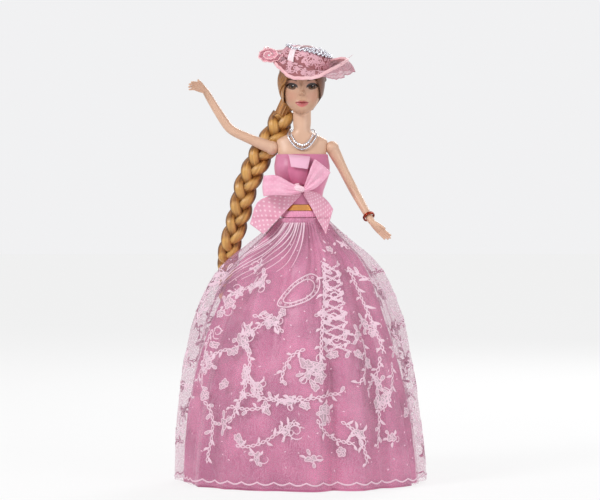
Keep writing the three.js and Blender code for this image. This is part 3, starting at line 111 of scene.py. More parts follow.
def smoothTable(rows):  # a smooth curve through rows of [position, value, value...]
    last = len(rows) - 1
    slopes = []
    for i in range(last + 1):
        before, after = rows[max(i - 1, 0)], rows[min(i + 1, last)]
        slopes.append([(a - b) / (after[0] - before[0]) for a, b in zip(after, before)])

    def read(position):
        i = 0
        while i < last - 1 and position > rows[i + 1][0]:
            i += 1
        run = rows[i + 1][0] - rows[i][0]
        start, leave, end, arrive = curveShares(clamp((position - rows[i][0]) / run))
        return [start * rows[i][k] + leave * run * slopes[i][k]
                + end * rows[i + 1][k] + arrive * run * slopes[i + 1][k] for k in range(1, len(rows[i]))]
    return read


class Route:  # a smooth curve through points, read by its share of the length
    def __init__(self, points, closed=False, tension=None, samples=24):
        self.line = []
        count = len(points)
        for i in range(count if closed else count - 1):
            p1, p2 = points[i], points[(i + 1) % count]
            p0 = points[i - 1] if i > 0 or closed else p1 * 2 - p2
            p3 = points[(i + 2) % count] if i + 2 < count or closed else p2 * 2 - p1
            if tension is None:
                d0, d1, d2 = (max((b - a).length, 1e-4) ** 0.5 for a, b in ((p0, p1), (p1, p2), (p2, p3)))
                m1 = ((p1 - p0) / d0 - (p2 - p0) / (d0 + d1) + (p2 - p1) / d1) * d1
                m2 = ((p2 - p1) / d1 - (p3 - p1) / (d1 + d2) + (p3 - p2) / d2) * d1
            else:
                m1, m2 = (p2 - p0) * tension, (p3 - p1) * tension
            for s in range(samples):
                start, leave, end, arrive = curveShares(s / samples)
                self.line.append(p1 * start + m1 * leave + p2 * end + m2 * arrive)
        self.line.append(points[0].copy() if closed else points[-1].copy())
        self.reach = [0.0]
        for a, b in zip(self.line, self.line[1:]):
            self.reach.append(self.reach[-1] + (b - a).length)
        self.length = self.reach[-1]

    def at(self, share):
        want = clamp(share) * self.length
        i = min(bisect.bisect(self.reach, want), len(self.reach) - 1) - 1
        run = self.reach[i + 1] - self.reach[i]
        return self.line[i].lerp(self.line[i + 1], (want - self.reach[i]) / run if run else 0)

    def way(self, share):
        return (self.at(share + 0.004) - self.at(share - 0.004)).normalized()


# Finishes: a socket that takes Python's operators, and a material that adds its nodes
def mathNode(operation, flipped=False):
    def act(self, *other):
        return self.maker.node("Math", {"operation": operation},
                               *((*other, self) if flipped else (self, *other)))
    return act


class Wire:
    def __init__(self, maker, socket):
        self.maker, self.socket = maker, socket

    __add__, __radd__ = mathNode("ADD"), mathNode("ADD", True)
    __sub__, __rsub__ = mathNode("SUBTRACT"), mathNode("SUBTRACT", True)
    __mul__, __rmul__ = mathNode("MULTIPLY"), mathNode("MULTIPLY", True)
    __truediv__, __pow__ = mathNode("DIVIDE"), mathNode("POWER")
    low, high = mathNode("MINIMUM"), mathNode("MAXIMUM")
    size, fraction, cosine = mathNode("ABSOLUTE"), mathNode("FRACT"), mathNode("COSINE")


class Finish:
    def __init__(self, name, **sockets):
        self.material = bpy.data.materials.new(name)
        self.material.use_nodes = True
        self.tree = self.material.node_tree
        self.shader = self.tree.nodes["Principled BSDF"]
        self.set(**sockets)

    def put(self, socket, value):
        if isinstance(value, Wire):
            self.tree.links.new(value.socket, socket)
        elif isinstance(value, tuple) and len(value) == 3 and socket.type == "RGBA":
            socket.default_value = (*value, 1)
        else:
            socket.default_value = value

    def node(self, kind, settings, *values, out=0, **inputs):
        made = self.tree.nodes.new("ShaderNode" + kind)
        for key, value in settings.items():
            setattr(made, key, value)
        for socket, value in zip(made.inputs, values):
            self.put(socket, value)
        for key, value in inputs.items():
            self.put(made.inputs[key.replace("_", " ")], value)
        return Wire(self, made.outputs[out])

    def set(self, **sockets):
        for key, value in sockets.items():
            self.put(self.shader.inputs[key.replace("_", " ")], value)
        return self

    def coords(self, scale=1000.0, source="Object"):  # in millimetres, or as the piece's own map has them
        return self.node("VectorMath", {"operation": "SCALE"}, self.node("TexCoord", {}, out=source),
                         Scale=scale)

    def split(self, vector):
        parts = self.tree.nodes.new("ShaderNodeSeparateXYZ")
        self.put(parts.inputs[0], vector)
        return [Wire(self, part) for part in parts.outputs]

    def mix(self, factor, a, b):
        made = self.tree.nodes.new("ShaderNodeMix")
        made.data_type = "RGBA"
        for socket, value in zip((made.inputs[0], made.inputs[6], made.inputs[7]), (factor, a, b)):
            self.put(socket, value)
        return Wire(self, made.outputs[2])

    def fade(self, value, low, high):  # 0 below low, 1 above high
        return self.node("MapRange", {"interpolation_type": "SMOOTHSTEP"}, value, low, high, 0.0, 1.0)

    def gone(self, value, low, high):  # 1 below low, 0 above high
        return 1 - self.fade(value, low, high)

    def stretched(self, vector, x, y, z):
        return self.node("Mapping", {}, Vector=vector, Scale=(x, y, z))

    def noise(self, vector, scale, detail=2.0, rough=0.5):
        return self.node("TexNoise", {}, Vector=vector, Scale=scale, Detail=detail, Roughness=rough)

    def cells(self, vector, scale):
        return self.node("TexVoronoi", {"feature": "DISTANCE_TO_EDGE"}, Vector=vector, Scale=scale)

    def bump(self, height, strength, distance):
        self.set(Normal=self.node("Bump", {}, strength, distance, Height=height))
        return self


def shade(colour, dim=1.0):  # a colour from 0 to 255, as the shader takes it
    return tuple(dim * (((c / 255 + 0.055) / 1.055) ** 2.4 if c > 10 else c / 255 / 12.92) for c in colour)


# Modelling helpers
def deselectAll():
    if bpy.context.object and bpy.context.object.mode != "OBJECT":
        bpy.ops.object.mode_set(mode="OBJECT")
    bpy.ops.object.select_all(action="DESELECT")


def choose(piece):
    deselectAll()
    piece.select_set(True)
    bpy.context.view_layer.objects.active = piece


def named(name):  # the primitive that was just added
    piece = bpy.context.object
    piece.name = piece.data.name = name
    return piece


def settled(name, middle, scale=(1, 1, 1), turn=None):  # the same, at its place
    piece = named(name)
    if turn is not None:
        piece.rotation_mode = "QUATERNION"
        piece.rotation_quaternion = turn
    piece.location, piece.scale = Vector(middle) * mm, scale
    bpy.ops.object.transform_apply()
    return piece


def applyModifier(piece, kind, **settings):
    choose(piece)
    modifier = piece.modifiers.new(kind.title(), kind)
    for key, value in settings.items():
        setattr(modifier, key, value)
    bpy.ops.object.modifier_apply(modifier=modifier.name)


def editAll(piece, *steps):
    choose(piece)
    bpy.ops.object.mode_set(mode="EDIT")
    bpy.ops.mesh.select_all(action="SELECT")
    for step in steps:
        step()
    bpy.ops.object.mode_set(mode="OBJECT")


def mergeDoubles():
    bpy.ops.mesh.remove_doubles(threshold=1e-6)


def fillEnds():
    bpy.ops.mesh.select_all(action="DESELECT")
    bpy.ops.mesh.select_non_manifold(extend=False, use_wire=False, use_multi_face=False,
                                     use_non_contiguous=False, use_verts=False)
    bpy.ops.mesh.fill_holes(sides=0)
    bpy.ops.mesh.select_all(action="SELECT")


def facesOut():
    bpy.ops.mesh.normals_make_consistent(inside=False)


def sliced(piece, point, way, **clear):  # point in millimetres, and which side is cleared
    editAll(piece, lambda: bpy.ops.mesh.bisect(plane_co=Vector(point) * mm, plane_no=way, use_fill=True,
                                               **clear))


def gridPiece(name, around, along, spot, closed=False, capped=False, wall=0.0, uv=(1, 1)):
    deselectAll()
    bpy.ops.mesh.primitive_grid_add(x_subdivisions=around, y_subdivisions=along, size=1, calc_uvs=True)
    piece = named(name)
    for vertex in piece.data.vertices:
        vertex.co = spot(vertex.co.x + 0.5, vertex.co.y + 0.5) * mm
    for loop in piece.data.uv_layers[0].data:
        loop.uv = (loop.uv[0] * uv[0], loop.uv[1] * uv[1])
    steps = [mergeDoubles] if closed or capped else []
    steps += [fillEnds] if capped else []
    editAll(piece, *steps, facesOut)
    if wall:
        applyModifier(piece, "SOLIDIFY", thickness=wall * mm, offset=0)
    bpy.ops.object.shade_smooth()
    return piece


# sectionAt gives half width and half depth
def tube(name, route, steps, sides, sectionAt, widthWay, ridge=None):
    def spot(u, v):
        tangent = route.way(v)
        wide = (widthWay - tangent * widthWay.dot(tangent)).normalized()
        deep = tangent.cross(wide)
        halfWidth, halfDepth = sectionAt(v) if callable(sectionAt) else sectionAt
        angle = tau * u
        grow = 1 + (ridge(u, v) if ridge else 0)
        return (route.at(v) + wide * halfWidth * math.cos(angle) * grow
                + deep * halfDepth * math.sin(angle) * grow)
    return gridPiece(name, sides, steps, spot, closed=True, capped=True, uv=(1, route.length))


def blob(name, middle, radii, segments=24, rings=16, turn=(0, 0, 0)):
    deselectAll()
    bpy.ops.mesh.primitive_uv_sphere_add(segments=segments, ring_count=rings, radius=mm)
    radii = radii if isinstance(radii, tuple) else (radii,) * 3
    piece = settled(name, middle, radii, Euler(turn).to_quaternion())
    bpy.ops.object.shade_smooth()
    return piece


def rod(name, middle, axis, radius, length, vertices=32, topRadius=None):
    deselectAll()
    topRadius = radius if topRadius is None else topRadius
    bpy.ops.mesh.primitive_cone_add(vertices=vertices, radius1=radius * mm, radius2=topRadius * mm,
                                    depth=length * mm)
    return settled(name, middle, turn=zAxis.rotation_difference(Vector(axis)))


def block(name, low, high):
    deselectAll()
    bpy.ops.mesh.primitive_cube_add(size=mm)
    low, high = Vector(low), Vector(high)
    return settled(name, (low + high) / 2, high - low)


def hoop(name, middle, turn, radius, thickness, around, across, scale=(1, 1, 1)):
    deselectAll()
    bpy.ops.mesh.primitive_torus_add(major_segments=around, minor_segments=across,
                                     major_radius=radius * mm, minor_radius=thickness * mm)
    return settled(name, middle, scale, turn)


def join(pieces, name):
    deselectAll()
    for piece in pieces:
        piece.select_set(True)
    bpy.context.view_layer.objects.active = pieces[0]
    if len(pieces) > 1:
        bpy.ops.object.join()
    return named(name)


def cut(piece, *tools, operation="DIFFERENCE"):
    for tool in tools:
        applyModifier(piece, "BOOLEAN", operation=operation, object=tool, solver="EXACT")
        bpy.data.objects.remove(tool)
    return piece


def fuse(pieces, name, voxel, smoothing):
    whole = join(pieces, name)
    applyModifier(whole, "REMESH", mode="VOXEL", voxel_size=voxel * mm)
    applyModifier(whole, "SMOOTH", factor=0.5, iterations=smoothing)
    choose(whole)
    bpy.ops.object.shade_smooth()
    return whole


def dress(piece, body, slot, finish, *nodes, angle=None):
    piece.data.materials.clear()
    piece.data.materials.append(finish.material)
    choose(piece)
    if angle is None:
        bpy.ops.object.shade_smooth()
    else:
        bpy.ops.object.shade_smooth_by_angle(angle=math.radians(angle))
    if body:
        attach(piece, body)
    if nodes:
        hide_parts(*nodes)
    return piece


# Sizes of the doll, in millimetres, as its solids have them
doll = {
    "hipZ": 152.0, "waistZ": 187.0, "shoulderZ": 228.8, "chinZ": 251.7, "headHeight": 39.5,
    "hipHalfWidth": 18, "hipHalfDepth": 13, "waistHalfWidth": 12, "waistHalfDepth": 9.8,
    "bustHalfWidth": 18, "bustHalfDepth": 13, "bustForward": 2.2, "neckRadius": 6.1, "neckShift": 1.2,
    "shoulderHalfWidth": 20.6, "capRadius": 4.7, "roundness": 0.88,
    "faceHalfWidth": 14.2, "headHalfDepth": 15.9, "headShift": 2,
    # rows of height, width, depth and forward, as shares of the sizes above
    "pelvis": [(-0.19, 0.5), (-0.06, 0.82), (0.14, 1), (0.4, 0.88), (0.65, 0.5), (0.86, 0.14)],
    "chest": [(0, 0, 0, 0), (0.2, 0.16, 0.1, 0.1), (0.42, 0.56, 0.48, 0.45), (0.6, 0.94, 0.95, 0.95),
              (0.7, 1, 1, 1), (0.82, 0.86, 0.7, 0.6)],
    "shoulders": [(-0.16, 0.92, 0.72, 0.45), (0, 0.95, 0.6, 0.14), (0.16, 0.97, 0.5, 0),
                  (0.25, 0.93, 0.46, -0.15), (0.33, 0.76, 0.45, -0.35), (0.41, 0.54, 0.46, -0.5)],
    "neck": (0.51, 0.75, 1.26),
}
neckRise = doll["chinZ"] - doll["shoulderZ"]


def torsoRows():
    rows = []
    pelvisRise, chestRise = doll["waistZ"] - doll["hipZ"], doll["shoulderZ"] - doll["waistZ"]
    for height, full in doll["pelvis"]:
        rows.append([doll["hipZ"] + height * pelvisRise,
                     lerp(doll["waistHalfWidth"], doll["hipHalfWidth"], full),
                     lerp(doll["waistHalfDepth"], doll["hipHalfDepth"], full), 0, doll["roundness"]])
    for height, wide, deep, forward in doll["chest"]:
        rows.append([doll["waistZ"] + height * chestRise,
                     lerp(doll["waistHalfWidth"], doll["bustHalfWidth"], wide),
                     lerp(doll["waistHalfDepth"], doll["bustHalfDepth"], deep),
                     -forward * doll["bustForward"], doll["roundness"]])
    for height, wide, deep, forward in doll["shoulders"]:
        rows.append([doll["shoulderZ"] + height * neckRise, wide * doll["bustHalfWidth"],
                     deep * doll["bustHalfDepth"], -forward * doll["bustForward"], doll["roundness"]])
    for height in doll["neck"]:
        rows.append([doll["shoulderZ"] + height * neckRise, doll["neckRadius"], doll["neckRadius"],
                     doll["neckShift"], 1])
    return rows


torsoTable = smoothTable(torsoRows())


def torsoAt(z):
    halfWidth, halfDepth, middleY, roundness = torsoTable(z)
    return {"z": z, "halfWidth": halfWidth, "halfDepth": halfDepth, "middleY": middleY,
            "roundness": roundness}


def ovalPoint(row, angle, grow=0.0):
    return Vector(((row["halfWidth"] + grow) * rounded(row["roundness"], math.cos(angle)),
                   row["middleY"] + (row["halfDepth"] + grow) * rounded(row["roundness"], math.sin(angle)),
                   row["z"]))


def frontOf(row, x, lift):
    share = min((x / row["halfWidth"]) ** 2, 1.6)
    return row["middleY"] - row["halfDepth"] * (1 - 0.3 * share) - lift


# Materials: each grain runs in the object's millimetres, or in the piece's own map
def skinFinish(name):
    made = Finish(name, Coat_Weight=0.12, Coat_Roughness=0.35)
    vector = made.coords()
    blotch, sheen, pores = made.noise(vector, 0.12, 3), made.noise(vector, 0.6, 2), made.noise(vector, 2.5, 2)
    made.set(Base_Color=made.mix(blotch, shade((214, 172, 145)), shade((224, 184, 158))),
             Roughness=0.36 + 0.14 * sheen)
    return made.bump(pores, 0.08, 0.0001)


def plasticFinish(name, colour, rough):
    made = Finish(name, Coat_Weight=0.2, Coat_Roughness=0.25)
    vector = made.coords()
    grain = made.noise(vector, 1.2, 3)
    made.set(Base_Color=made.mix(grain, shade(colour, 0.92), shade(colour)), Roughness=rough + 0.12 * grain)
    return made.bump(made.noise(vector, 5, 2), 0.1, 0.0001)


def metalFinish(name, colour, rough, streak=(1, 1, 1), bumpHeight=0.00005):
    made = Finish(name, Metallic=1.0)
    brushed = made.noise(made.stretched(made.coords(), *streak), 1.5, 4)
    made.set(Base_Color=made.mix(brushed, shade(colour, 0.8), shade(colour)), Roughness=rough + 0.2 * brushed)
    return made.bump(brushed, 0.2, bumpHeight)


def satinFinish(name, light, dark, rough):
    made = Finish(name, Sheen_Weight=0.25, Sheen_Roughness=0.4)
    vector, weave = made.coords(), 3.0
    cloud = made.noise(vector, 0.045, 3)
    thread = made.noise(made.stretched(vector, 1, 1, 0.12), weave, 2)
    cross = made.noise(made.stretched(vector, 0.2, 0.2, 2), weave, 2)
    made.set(Base_Color=made.mix(made.fade(cloud * 0.75 + thread * 0.25, 0.3, 0.7), shade(dark),
                                 shade(light)), Roughness=rough + 0.16 * cross)
    return made.bump(thread * 0.6 + cross * 0.4, 0.16, 0.00015)


# crevice and lit are painted shade and painted highlight on the braid; shaded is painted shade, darker
# towards the doll's left and higher up
hairTone = {"dark": (106, 58, 22), "light": (202, 140, 68), "creviceShade": (74, 36, 12), "lit": (232, 180, 100),
            "shaded": (98, 50, 28), "shadedFromX": (6.0, 14.0), "shadedFromZ": (264.0, 280.0)}


def hairFinish(name, creviceShade=0.0):  # the piece's own map runs along the strands
    made = Finish(name, Coat_Weight=0.15, Coat_Roughness=0.3)
    strands = made.coords(1, "UV")
    fine = made.noise(made.stretched(strands, 55, 0.05, 1), 1.0, 3, 0.6)
    broad = made.noise(made.stretched(strands, 9, 0.035, 1), 1.0, 2)
    tone = made.mix(made.fade(fine * 0.55 + broad * 0.45, 0.32, 0.68), shade(hairTone["dark"]),
                    shade(hairTone["light"]))
    if creviceShade:  # painted shade at the strands' edges, painted highlight where the braid stands proud
        edge = made.fade((made.split(strands)[0] * tau).cosine().size(), 0.45, 0.98) * creviceShade
        proud = made.fade(made.node("Attribute", {"attribute_name": "proud"}, out=2), 0.5, 0.95)
        tone = made.mix(edge, tone, shade(hairTone["creviceShade"]))
        tone = made.mix((proud * (0.25 + 0.9 * broad)).low(1.0), tone, shade(hairTone["lit"]))
    x, _, z = made.split(made.coords())
    shaded = made.fade(x, *hairTone["shadedFromX"]) * 0.9
    shaded = shaded.high(made.fade(z, *hairTone["shadedFromZ"]) * 0.45)
    made.set(Base_Color=made.mix(shaded, tone, shade(hairTone["shaded"])), Roughness=0.3 + 0.2 * fine)
    return made.bump(fine * 0.7 + broad * 0.3, 0.55, 0.0004)


def ribbonFinish(name, dark, light, spot, dotted, paintedLitFlap=None):  # the piece's own map is in millimetres
    made = Finish(name, Sheen_Weight=0.2, Sheen_Roughness=0.4)
    vector, pitch = made.coords(1, "UV"), 3.5
    u, v, _ = made.split(vector)

    def dots(shift):
        a, b = (((place + shift) / pitch).fraction() - 0.5 for place in (u, v))
        return (a * a + b * b) ** 0.5
    dot = made.gone(dots(0).low(dots(pitch / 2)), 0.11, 0.2) * dotted
    thread = made.noise(made.stretched(vector, 1, 6, 1), 2.2, 2)
    colour = made.mix(made.noise(vector, 0.12, 2), shade(dark), shade(light))
    if paintedLitFlap:  # painted light: beyond its fold the ribbon is painted paler, for the light on the cuff's top
        fold, back = paintedLitFlap
        colour = made.mix(made.fade(u, fold, fold + 0.8), colour, shade(back))
    made.set(Base_Color=made.mix(dot, colour, shade(spot)), Roughness=0.32 + 0.2 * thread)
    return made.bump(thread * 0.5 + dot * 0.5, 0.2, 0.0002)


def tulleFinish(name, light, dark):
    made = Finish(name, Roughness=0.6, Sheen_Weight=0.3)
    vector = made.coords(1, "UV")
    thread = made.gone(made.cells(vector, 0.9), 0.05, 0.22)
    made.set(Base_Color=made.mix(made.noise(vector, 0.05, 3), shade(dark), shade(light)),
             Alpha=0.05 + 0.2 * thread)
    return made.bump(thread, 0.3, 0.0002)


def laceFinish(name, light, dark):
    made = Finish(name, Sheen_Weight=0.3)
    stitch = made.noise(made.stretched(made.coords(), 1.6, 1.6, 3.2), 1.3, 3)
    made.set(Base_Color=made.mix(stitch, shade(dark), shade(light)), Roughness=0.5 + 0.25 * stitch)
    return made.bump(stitch, 0.5, 0.0003)


def netFinish(name, colour):  # fine net that fills leaves and petals
    made = Finish(name, Roughness=0.65, Sheen_Weight=0.3)
    vector = made.coords()
    thread = made.gone(made.cells(vector, 2.2), 0.06, 0.3)
    made.set(Base_Color=made.mix(made.noise(vector, 0.4, 2), shade(colour, 0.9), shade(colour)),
             Alpha=0.24 + 0.4 * thread)
    return made.bump(thread, 0.3, 0.0002)


face = {"eyeX": 6.85, "eyeZ": 270.0, "browZ": 275.0, "topLipZ": 260.5, "partingZ": 258.95, "lowLipZ": 256.3,
        "skin": ((192, 148, 121), (203, 161, 134)), "blush": (222, 134, 122), "lid": (158, 96, 88),
        "white": (176, 150, 138), "iris": (66, 40, 26), "irisLight": (128, 86, 52), "pupil": (10, 6, 6),
        "lash": (30, 16, 14), "glint": (255, 255, 255), "brow": (70, 38, 26), "mouth": (112, 44, 42),
        "lips": ((204, 110, 108), (172, 78, 78)), "nostrilShade": (136, 78, 66)}


def faceFinish(name):  # painted on the front of the head, alike on both sides but for the glints
    made = Finish(name, Coat_Roughness=0.35)
    vector = made.coords()
    x, y, z = made.split(vector)
    side, eyeX, eyeZ = x.size(), face["eyeX"], face["eyeZ"]
    out = side - eyeX  # positive towards the temple
    fade, gone = made.fade, made.gone

    def oval(midX, midZ, halfX, halfZ, soft=0.12, of=side):
        a, b = (of - midX) / halfX, (z - midZ) / halfZ
        return gone((a * a + b * b) ** 0.5, 1 - soft, 1 + soft)
    skin = made.mix(made.noise(vector, 0.15, 3), *map(shade, face["skin"]))
    lidTop = eyeZ + 1.75 - 0.13 * (out + 0.3) * (out + 0.3) + 0.1 * out
    lidLow = eyeZ - 1.45 + 0.1 * out * out + 0.12 * out
    eye = fade(lidTop - z, -0.12, 0.12) * fade(z - lidLow, -0.12, 0.12) * gone(out.size(), 3.5, 3.8)
    iris = oval(eyeX - 0.2, eyeZ + 0.15, 2.5, 2.4) * eye
    irisLight = oval(eyeX - 0.2, eyeZ - 0.7, 1.5, 0.9, 0.5) * iris
    pupil = oval(eyeX - 0.2, eyeZ + 0.15, 1.0, 1.05, 0.2) * eye
    glint = oval(-6.1, eyeZ + 0.9, 0.24, 0.24, 0.3, x) + oval(7.4, eyeZ + 0.9, 0.24, 0.24, 0.3, x)
    lash = gone((z - lidTop - 0.25 - 0.12 * out.high(0.0)).size(), 0.6, 1.05)
    lash = lash * gone((out - 0.4).size(), 3.8, 4.8)
    wing = gone((z - (eyeZ + 0.5 + 0.62 * (out - 2.6))).size(), 0.25, 0.55)
    wing = wing * fade(out, 2.4, 2.9) * gone(out, 4.6, 5.2)
    under = gone((z - lidLow + 0.1).size(), 0.15, 0.5) * fade(out, -3.2, -1.0) * gone(out, 3.4, 4.2)
    browLine = face["browZ"] - 0.06 * (side - 7.4) * (side - 7.4) + 0.02 * (side - 7.4)
    brow = gone((z - browLine).size(), 0.25, 0.7) * fade(side, 3.0, 4.2) * gone(side, 10.4, 11.8)
    topLip = face["topLipZ"] - 0.05 * side * side - 0.45 * gone(side, 0.0, 0.9)
    lowLip = face["lowLipZ"] + 0.13 * side * side
    lips = fade(topLip - z, -0.15, 0.2) * fade(z - lowLip, -0.2, 0.2) * gone(side, 4.3, 4.8)
    parting = gone((z - (face["partingZ"] + 0.03 * side * side)).size(), 0.08, 0.28) * lips
    colour = skin
    for mask, tone in (  # from the skin up
            (oval(8.2, 263.5, 4.6, 3.6, 0.7) * 0.22, shade(face["blush"])),
            (oval(7.1, 272.1, 4.9, 2.4, 0.5) * 0.5, shade(face["lid"])),
            (eye, shade(face["white"])), (iris, shade(face["iris"])),
            (irisLight * 0.8, shade(face["irisLight"])),
            (pupil, shade(face["pupil"])), (lash.high(wing).high(under * 0.85), shade(face["lash"])),
            (glint.low(1.0) * eye, shade(face["glint"])), (brow * 0.92, shade(face["brow"])),
            (lips, made.mix(fade(z, 257.2, 259.4), *map(shade, face["lips"]))),
            (parting * 0.85, shade(face["mouth"])),
            # painted shade in the nostrils
            (oval(1.25, 264.2, 0.55, 0.4, 0.5) * 0.4, shade(face["nostrilShade"]))):
        colour = made.mix(mask, colour, tone)
    front = gone(y, -9.0, -7.0)
    made.set(Base_Color=made.mix(front, skin, colour), Coat_Weight=0.12 - 0.12 * eye * front,
             Roughness=0.46 - 0.14 * lips * front + 0.3 * eye * front)
    return made.bump(made.noise(vector, 2.5, 2), 0.06, 0.0001)


skinVinyl = skinFinish("skinVinyl")
bodyVinyl = skinFinish("bodyPlastic")
paintedFace = faceFinish("paintedFace")
hairFibre = hairFinish("hairFibre")
plaitFibre = hairFinish("plaitFibre", 0.75)
satinCloth = satinFinish("satinCloth", (232, 142, 182), (184, 92, 136), 0.3)
bandSatin = satinFinish("bandSatin", (244, 168, 200), (222, 140, 176), 0.32)
bodiceSatin = satinFinish("bodiceSatin", (224, 144, 176), (202, 114, 150), 0.32)
hatSatin = satinFinish("hatSatin", (180, 116, 120), (142, 78, 84), 0.44)
roseSatin = satinFinish("roseSatin", (238, 178, 190), (216, 146, 164), 0.4)
trimSatin = satinFinish("trimSatin", (250, 206, 210), (240, 180, 188), 0.3)
dottedRibbon = ribbonFinish("dottedRibbon", (222, 150, 176), (238, 178, 200), (252, 222, 232), 0.75)
glossyRibbon = ribbonFinish("glossyRibbon", (226, 138, 172), (255, 204, 224), (253, 224, 234), 0.2)
# painted highlight: the knot's ribbon is painted paler than the loops, for the light on it
knotRibbonHighlight = ribbonFinish("knotRibbonHighlight", (248, 204, 218), (255, 224, 234), (255, 236, 242), 0.1)
# painted light and shade: the cuff is painted deep pink for the shade below its fold, and paler beyond the
# fold for the light on its top
cuffRibbonLitAndShaded = ribbonFinish("cuffRibbonLitAndShaded", (200, 98, 140), (216, 124, 158), (244, 196, 214), 0.0,
                          paintedLitFlap=(21.5, (238, 184, 208)))
paleRibbon = ribbonFinish("paleRibbon", (246, 222, 228), (255, 240, 244), (255, 240, 244), 0.0)
sheerNet = tulleFinish("sheerNet", (242, 200, 220), (222, 160, 190))
whiteLace = laceFinish("whiteLace", (250, 226, 237), (232, 192, 210))
pinkLace = laceFinish("pinkLace", (242, 196, 206), (220, 158, 172))
laceNet = netFinish("laceNet", (250, 226, 236))
roseNet = netFinish("roseNet", (228, 176, 188))
goldFoil = metalFinish("goldFoil", (226, 158, 92), 0.2, (0.4, 0.4, 3), 0.0002)
silverMetal = metalFinish("silverMetal", (212, 212, 220), 0.08)
copperMetal = metalFinish("copperMetal", (148, 58, 42), 0.22)
brushedSteel = metalFinish("brushedSteel", (190, 190, 196), 0.25, (0.1, 4, 4))
stiffPlastic = plasticFinish("stiffPlastic", (232, 218, 200), 0.35)
pumpPlastic = plasticFinish("pumpPlastic", (232, 142, 178), 0.18)
elasticBand = plasticFinish("elasticBand", (222, 112, 156), 0.55)
hookTape = plasticFinish("hookTape", (246, 222, 230), 0.7)
for finish, nodes in ((stiffPlastic, ("neck_knob", "shoulder_hub_right", "shoulder_hub_left")),
                      (brushedSteel, ("shoulder_pin_right", "shoulder_pin_left", "hip_axle"))):
    for node in nodes:
        frame["nodes"][node].data.materials.clear()
        frame["nodes"][node].data.materials.append(finish.material)
print("finishes ready")


# Torso: one skin, hollowed for the shoulders and legs, then parted along its sides
torsoShape = {"sides": 72, "rings": 80, "topAboveChin": 5.7, "socket": 4.95, "seam": 0.12, "legRoom": 9,
              "webHalfWidth": 3, "outerHalfWidth": 24, "legRoomLow": 110}


def makeTorso():
    size = torsoShape
    low, high = torsoRows()[0][0], doll["chinZ"] + size["topAboveChin"]

    def spot(u, v):
        z = lerp(low, high, v)
        point = ovalPoint(torsoAt(z), tau * u)
        if point.y < 0:  # collarbones, and the hollow between them
            ridge = hump(abs(point.x), z, 8, 237.4 - 0.16 * abs(point.x), 5.5, 0.9)
            point.y -= 0.5 * ridge - 0.5 * hump(point.x, z, 0, 235.4, 2.2, 1.8)
        return point
    body = gridPiece("torsoBody", size["sides"], size["rings"], spot, closed=True, capped=True)
    web, wide = size["webHalfWidth"], size["outerHalfWidth"]
    for side in (-1, 1):
        near, far = sorted((side * web, side * wide))
        discAt = (side * (web + wide) / 2, 0, doll["hipZ"])
        cut(body,
            blob("socket", (side * doll["shoulderHalfWidth"], 0, doll["shoulderZ"]), size["socket"], 48, 32),
            rod("legDisc", discAt, xAxis, size["legRoom"], wide - web, 48),
            block("legRoom", (near, -wide, size["legRoomLow"]), (far, wide, doll["hipZ"])))
    for name, node, turn in (("torsoFront", "torso_front", 1), ("torsoBack", "torso_back", -1)):
        choose(body)
        bpy.ops.object.duplicate()
        half = named(name)
        sliced(half, (0, -turn * size["seam"], 0), (0, turn, 0), clear_outer=True)
        dress(half, "torso", "body", bodyVinyl, node, angle=40)
    bpy.data.objects.remove(body)


makeTorso()

# Head: rings down to a chin that stands forward of the neck, with the face raised on its front
headTable = smoothTable([
    [0.008, 0.2, 0.82, -0.48], [0.05, 0.42, 0.9, -0.12], [0.12, 0.61, 0.955, 0.25], [0.2, 0.755, 0.97, 0.58],
    [0.3, 0.86, 0.965, 0.83], [0.4, 0.93, 0.96, 0.95], [0.5, 0.98, 0.965, 1], [0.6, 1, 0.97, 1.0],
    [0.7, 0.99, 0.95, 0.98], [0.8, 0.92, 0.86, 0.9], [0.9, 0.74, 0.66, 0.7], [0.965, 0.46, 0.4, 0.44],
    [0.995, 0.14, 0.12, 0.13]])
skull = (0.008, 0.992)  # where the head's rings start and end, as shares of its height
middleHumps = [  # how far each form of the face stands out, its place x, z and its half width and height
    (2.7, 0, 265.9, 1.7, 1.5), (1.5, 0, 269.4, 1.35, 3.6),  # nose
    (0.95, 0, 260.0, 3.0, 0.75), (1.15, 0, 258.3, 2.5, 0.85), (-0.5, 0, 259.15, 3.6, 0.3),  # lips
    (-0.25, 0, 262.2, 0.6, 1.0), (0.85, 0, 254.4, 3.4, 2.0)]  # the groove above them, and the chin
sideHumps = [(0.8, 1.9, 264.9, 0.8, 0.8), (-1.15, 6.6, 271.2, 4.0, 2.5),
             (0.6, face["eyeX"], face["eyeZ"], 2.9, 1.6), (0.35, 7.2, 275.6, 4.5, 1.4),
             (0.5, 9.4, 265.5, 3.4, 3.4)]  # nostrils, sockets, eyeballs, brows and cheeks


def headAt(z, grow=0.0):
    wide, front, back = headTable((z - doll["chinZ"] + grow) / (doll["headHeight"] + 2 * grow))
    frontY = doll["headShift"] - doll["headHalfDepth"] * front
    backY = doll["headShift"] + doll["headHalfDepth"] * back
    return {"z": z, "halfWidth": doll["faceHalfWidth"] * wide + grow,
            "halfDepth": (backY - frontY) / 2 + grow, "middleY": (backY + frontY) / 2,
            "roundness": doll["roundness"]}


def headAngle(share):  # closer together at the front, where the face is
    s = 2 * share - 1
    return -math.pi / 2 + math.pi * (0.42 * s + 0.58 * s ** 3)


def faceRelief(x, z):
    return (sum(out * hump(x, z, *form) for out, *form in middleHumps)
            + sum(out * hump(abs(x), z, *form) for out, *form in sideHumps))


def headSpot(grow, low, high, relief=False):
    def spot(u, v):
        z = doll["chinZ"] - grow + lerp(low, high, v) * (doll["headHeight"] + 2 * grow)
        point = ovalPoint(headAt(z, grow), headAngle(u))
        if relief and point.y < 0:
            point.y -= faceRelief(point.x, z)
        return point
    return spot


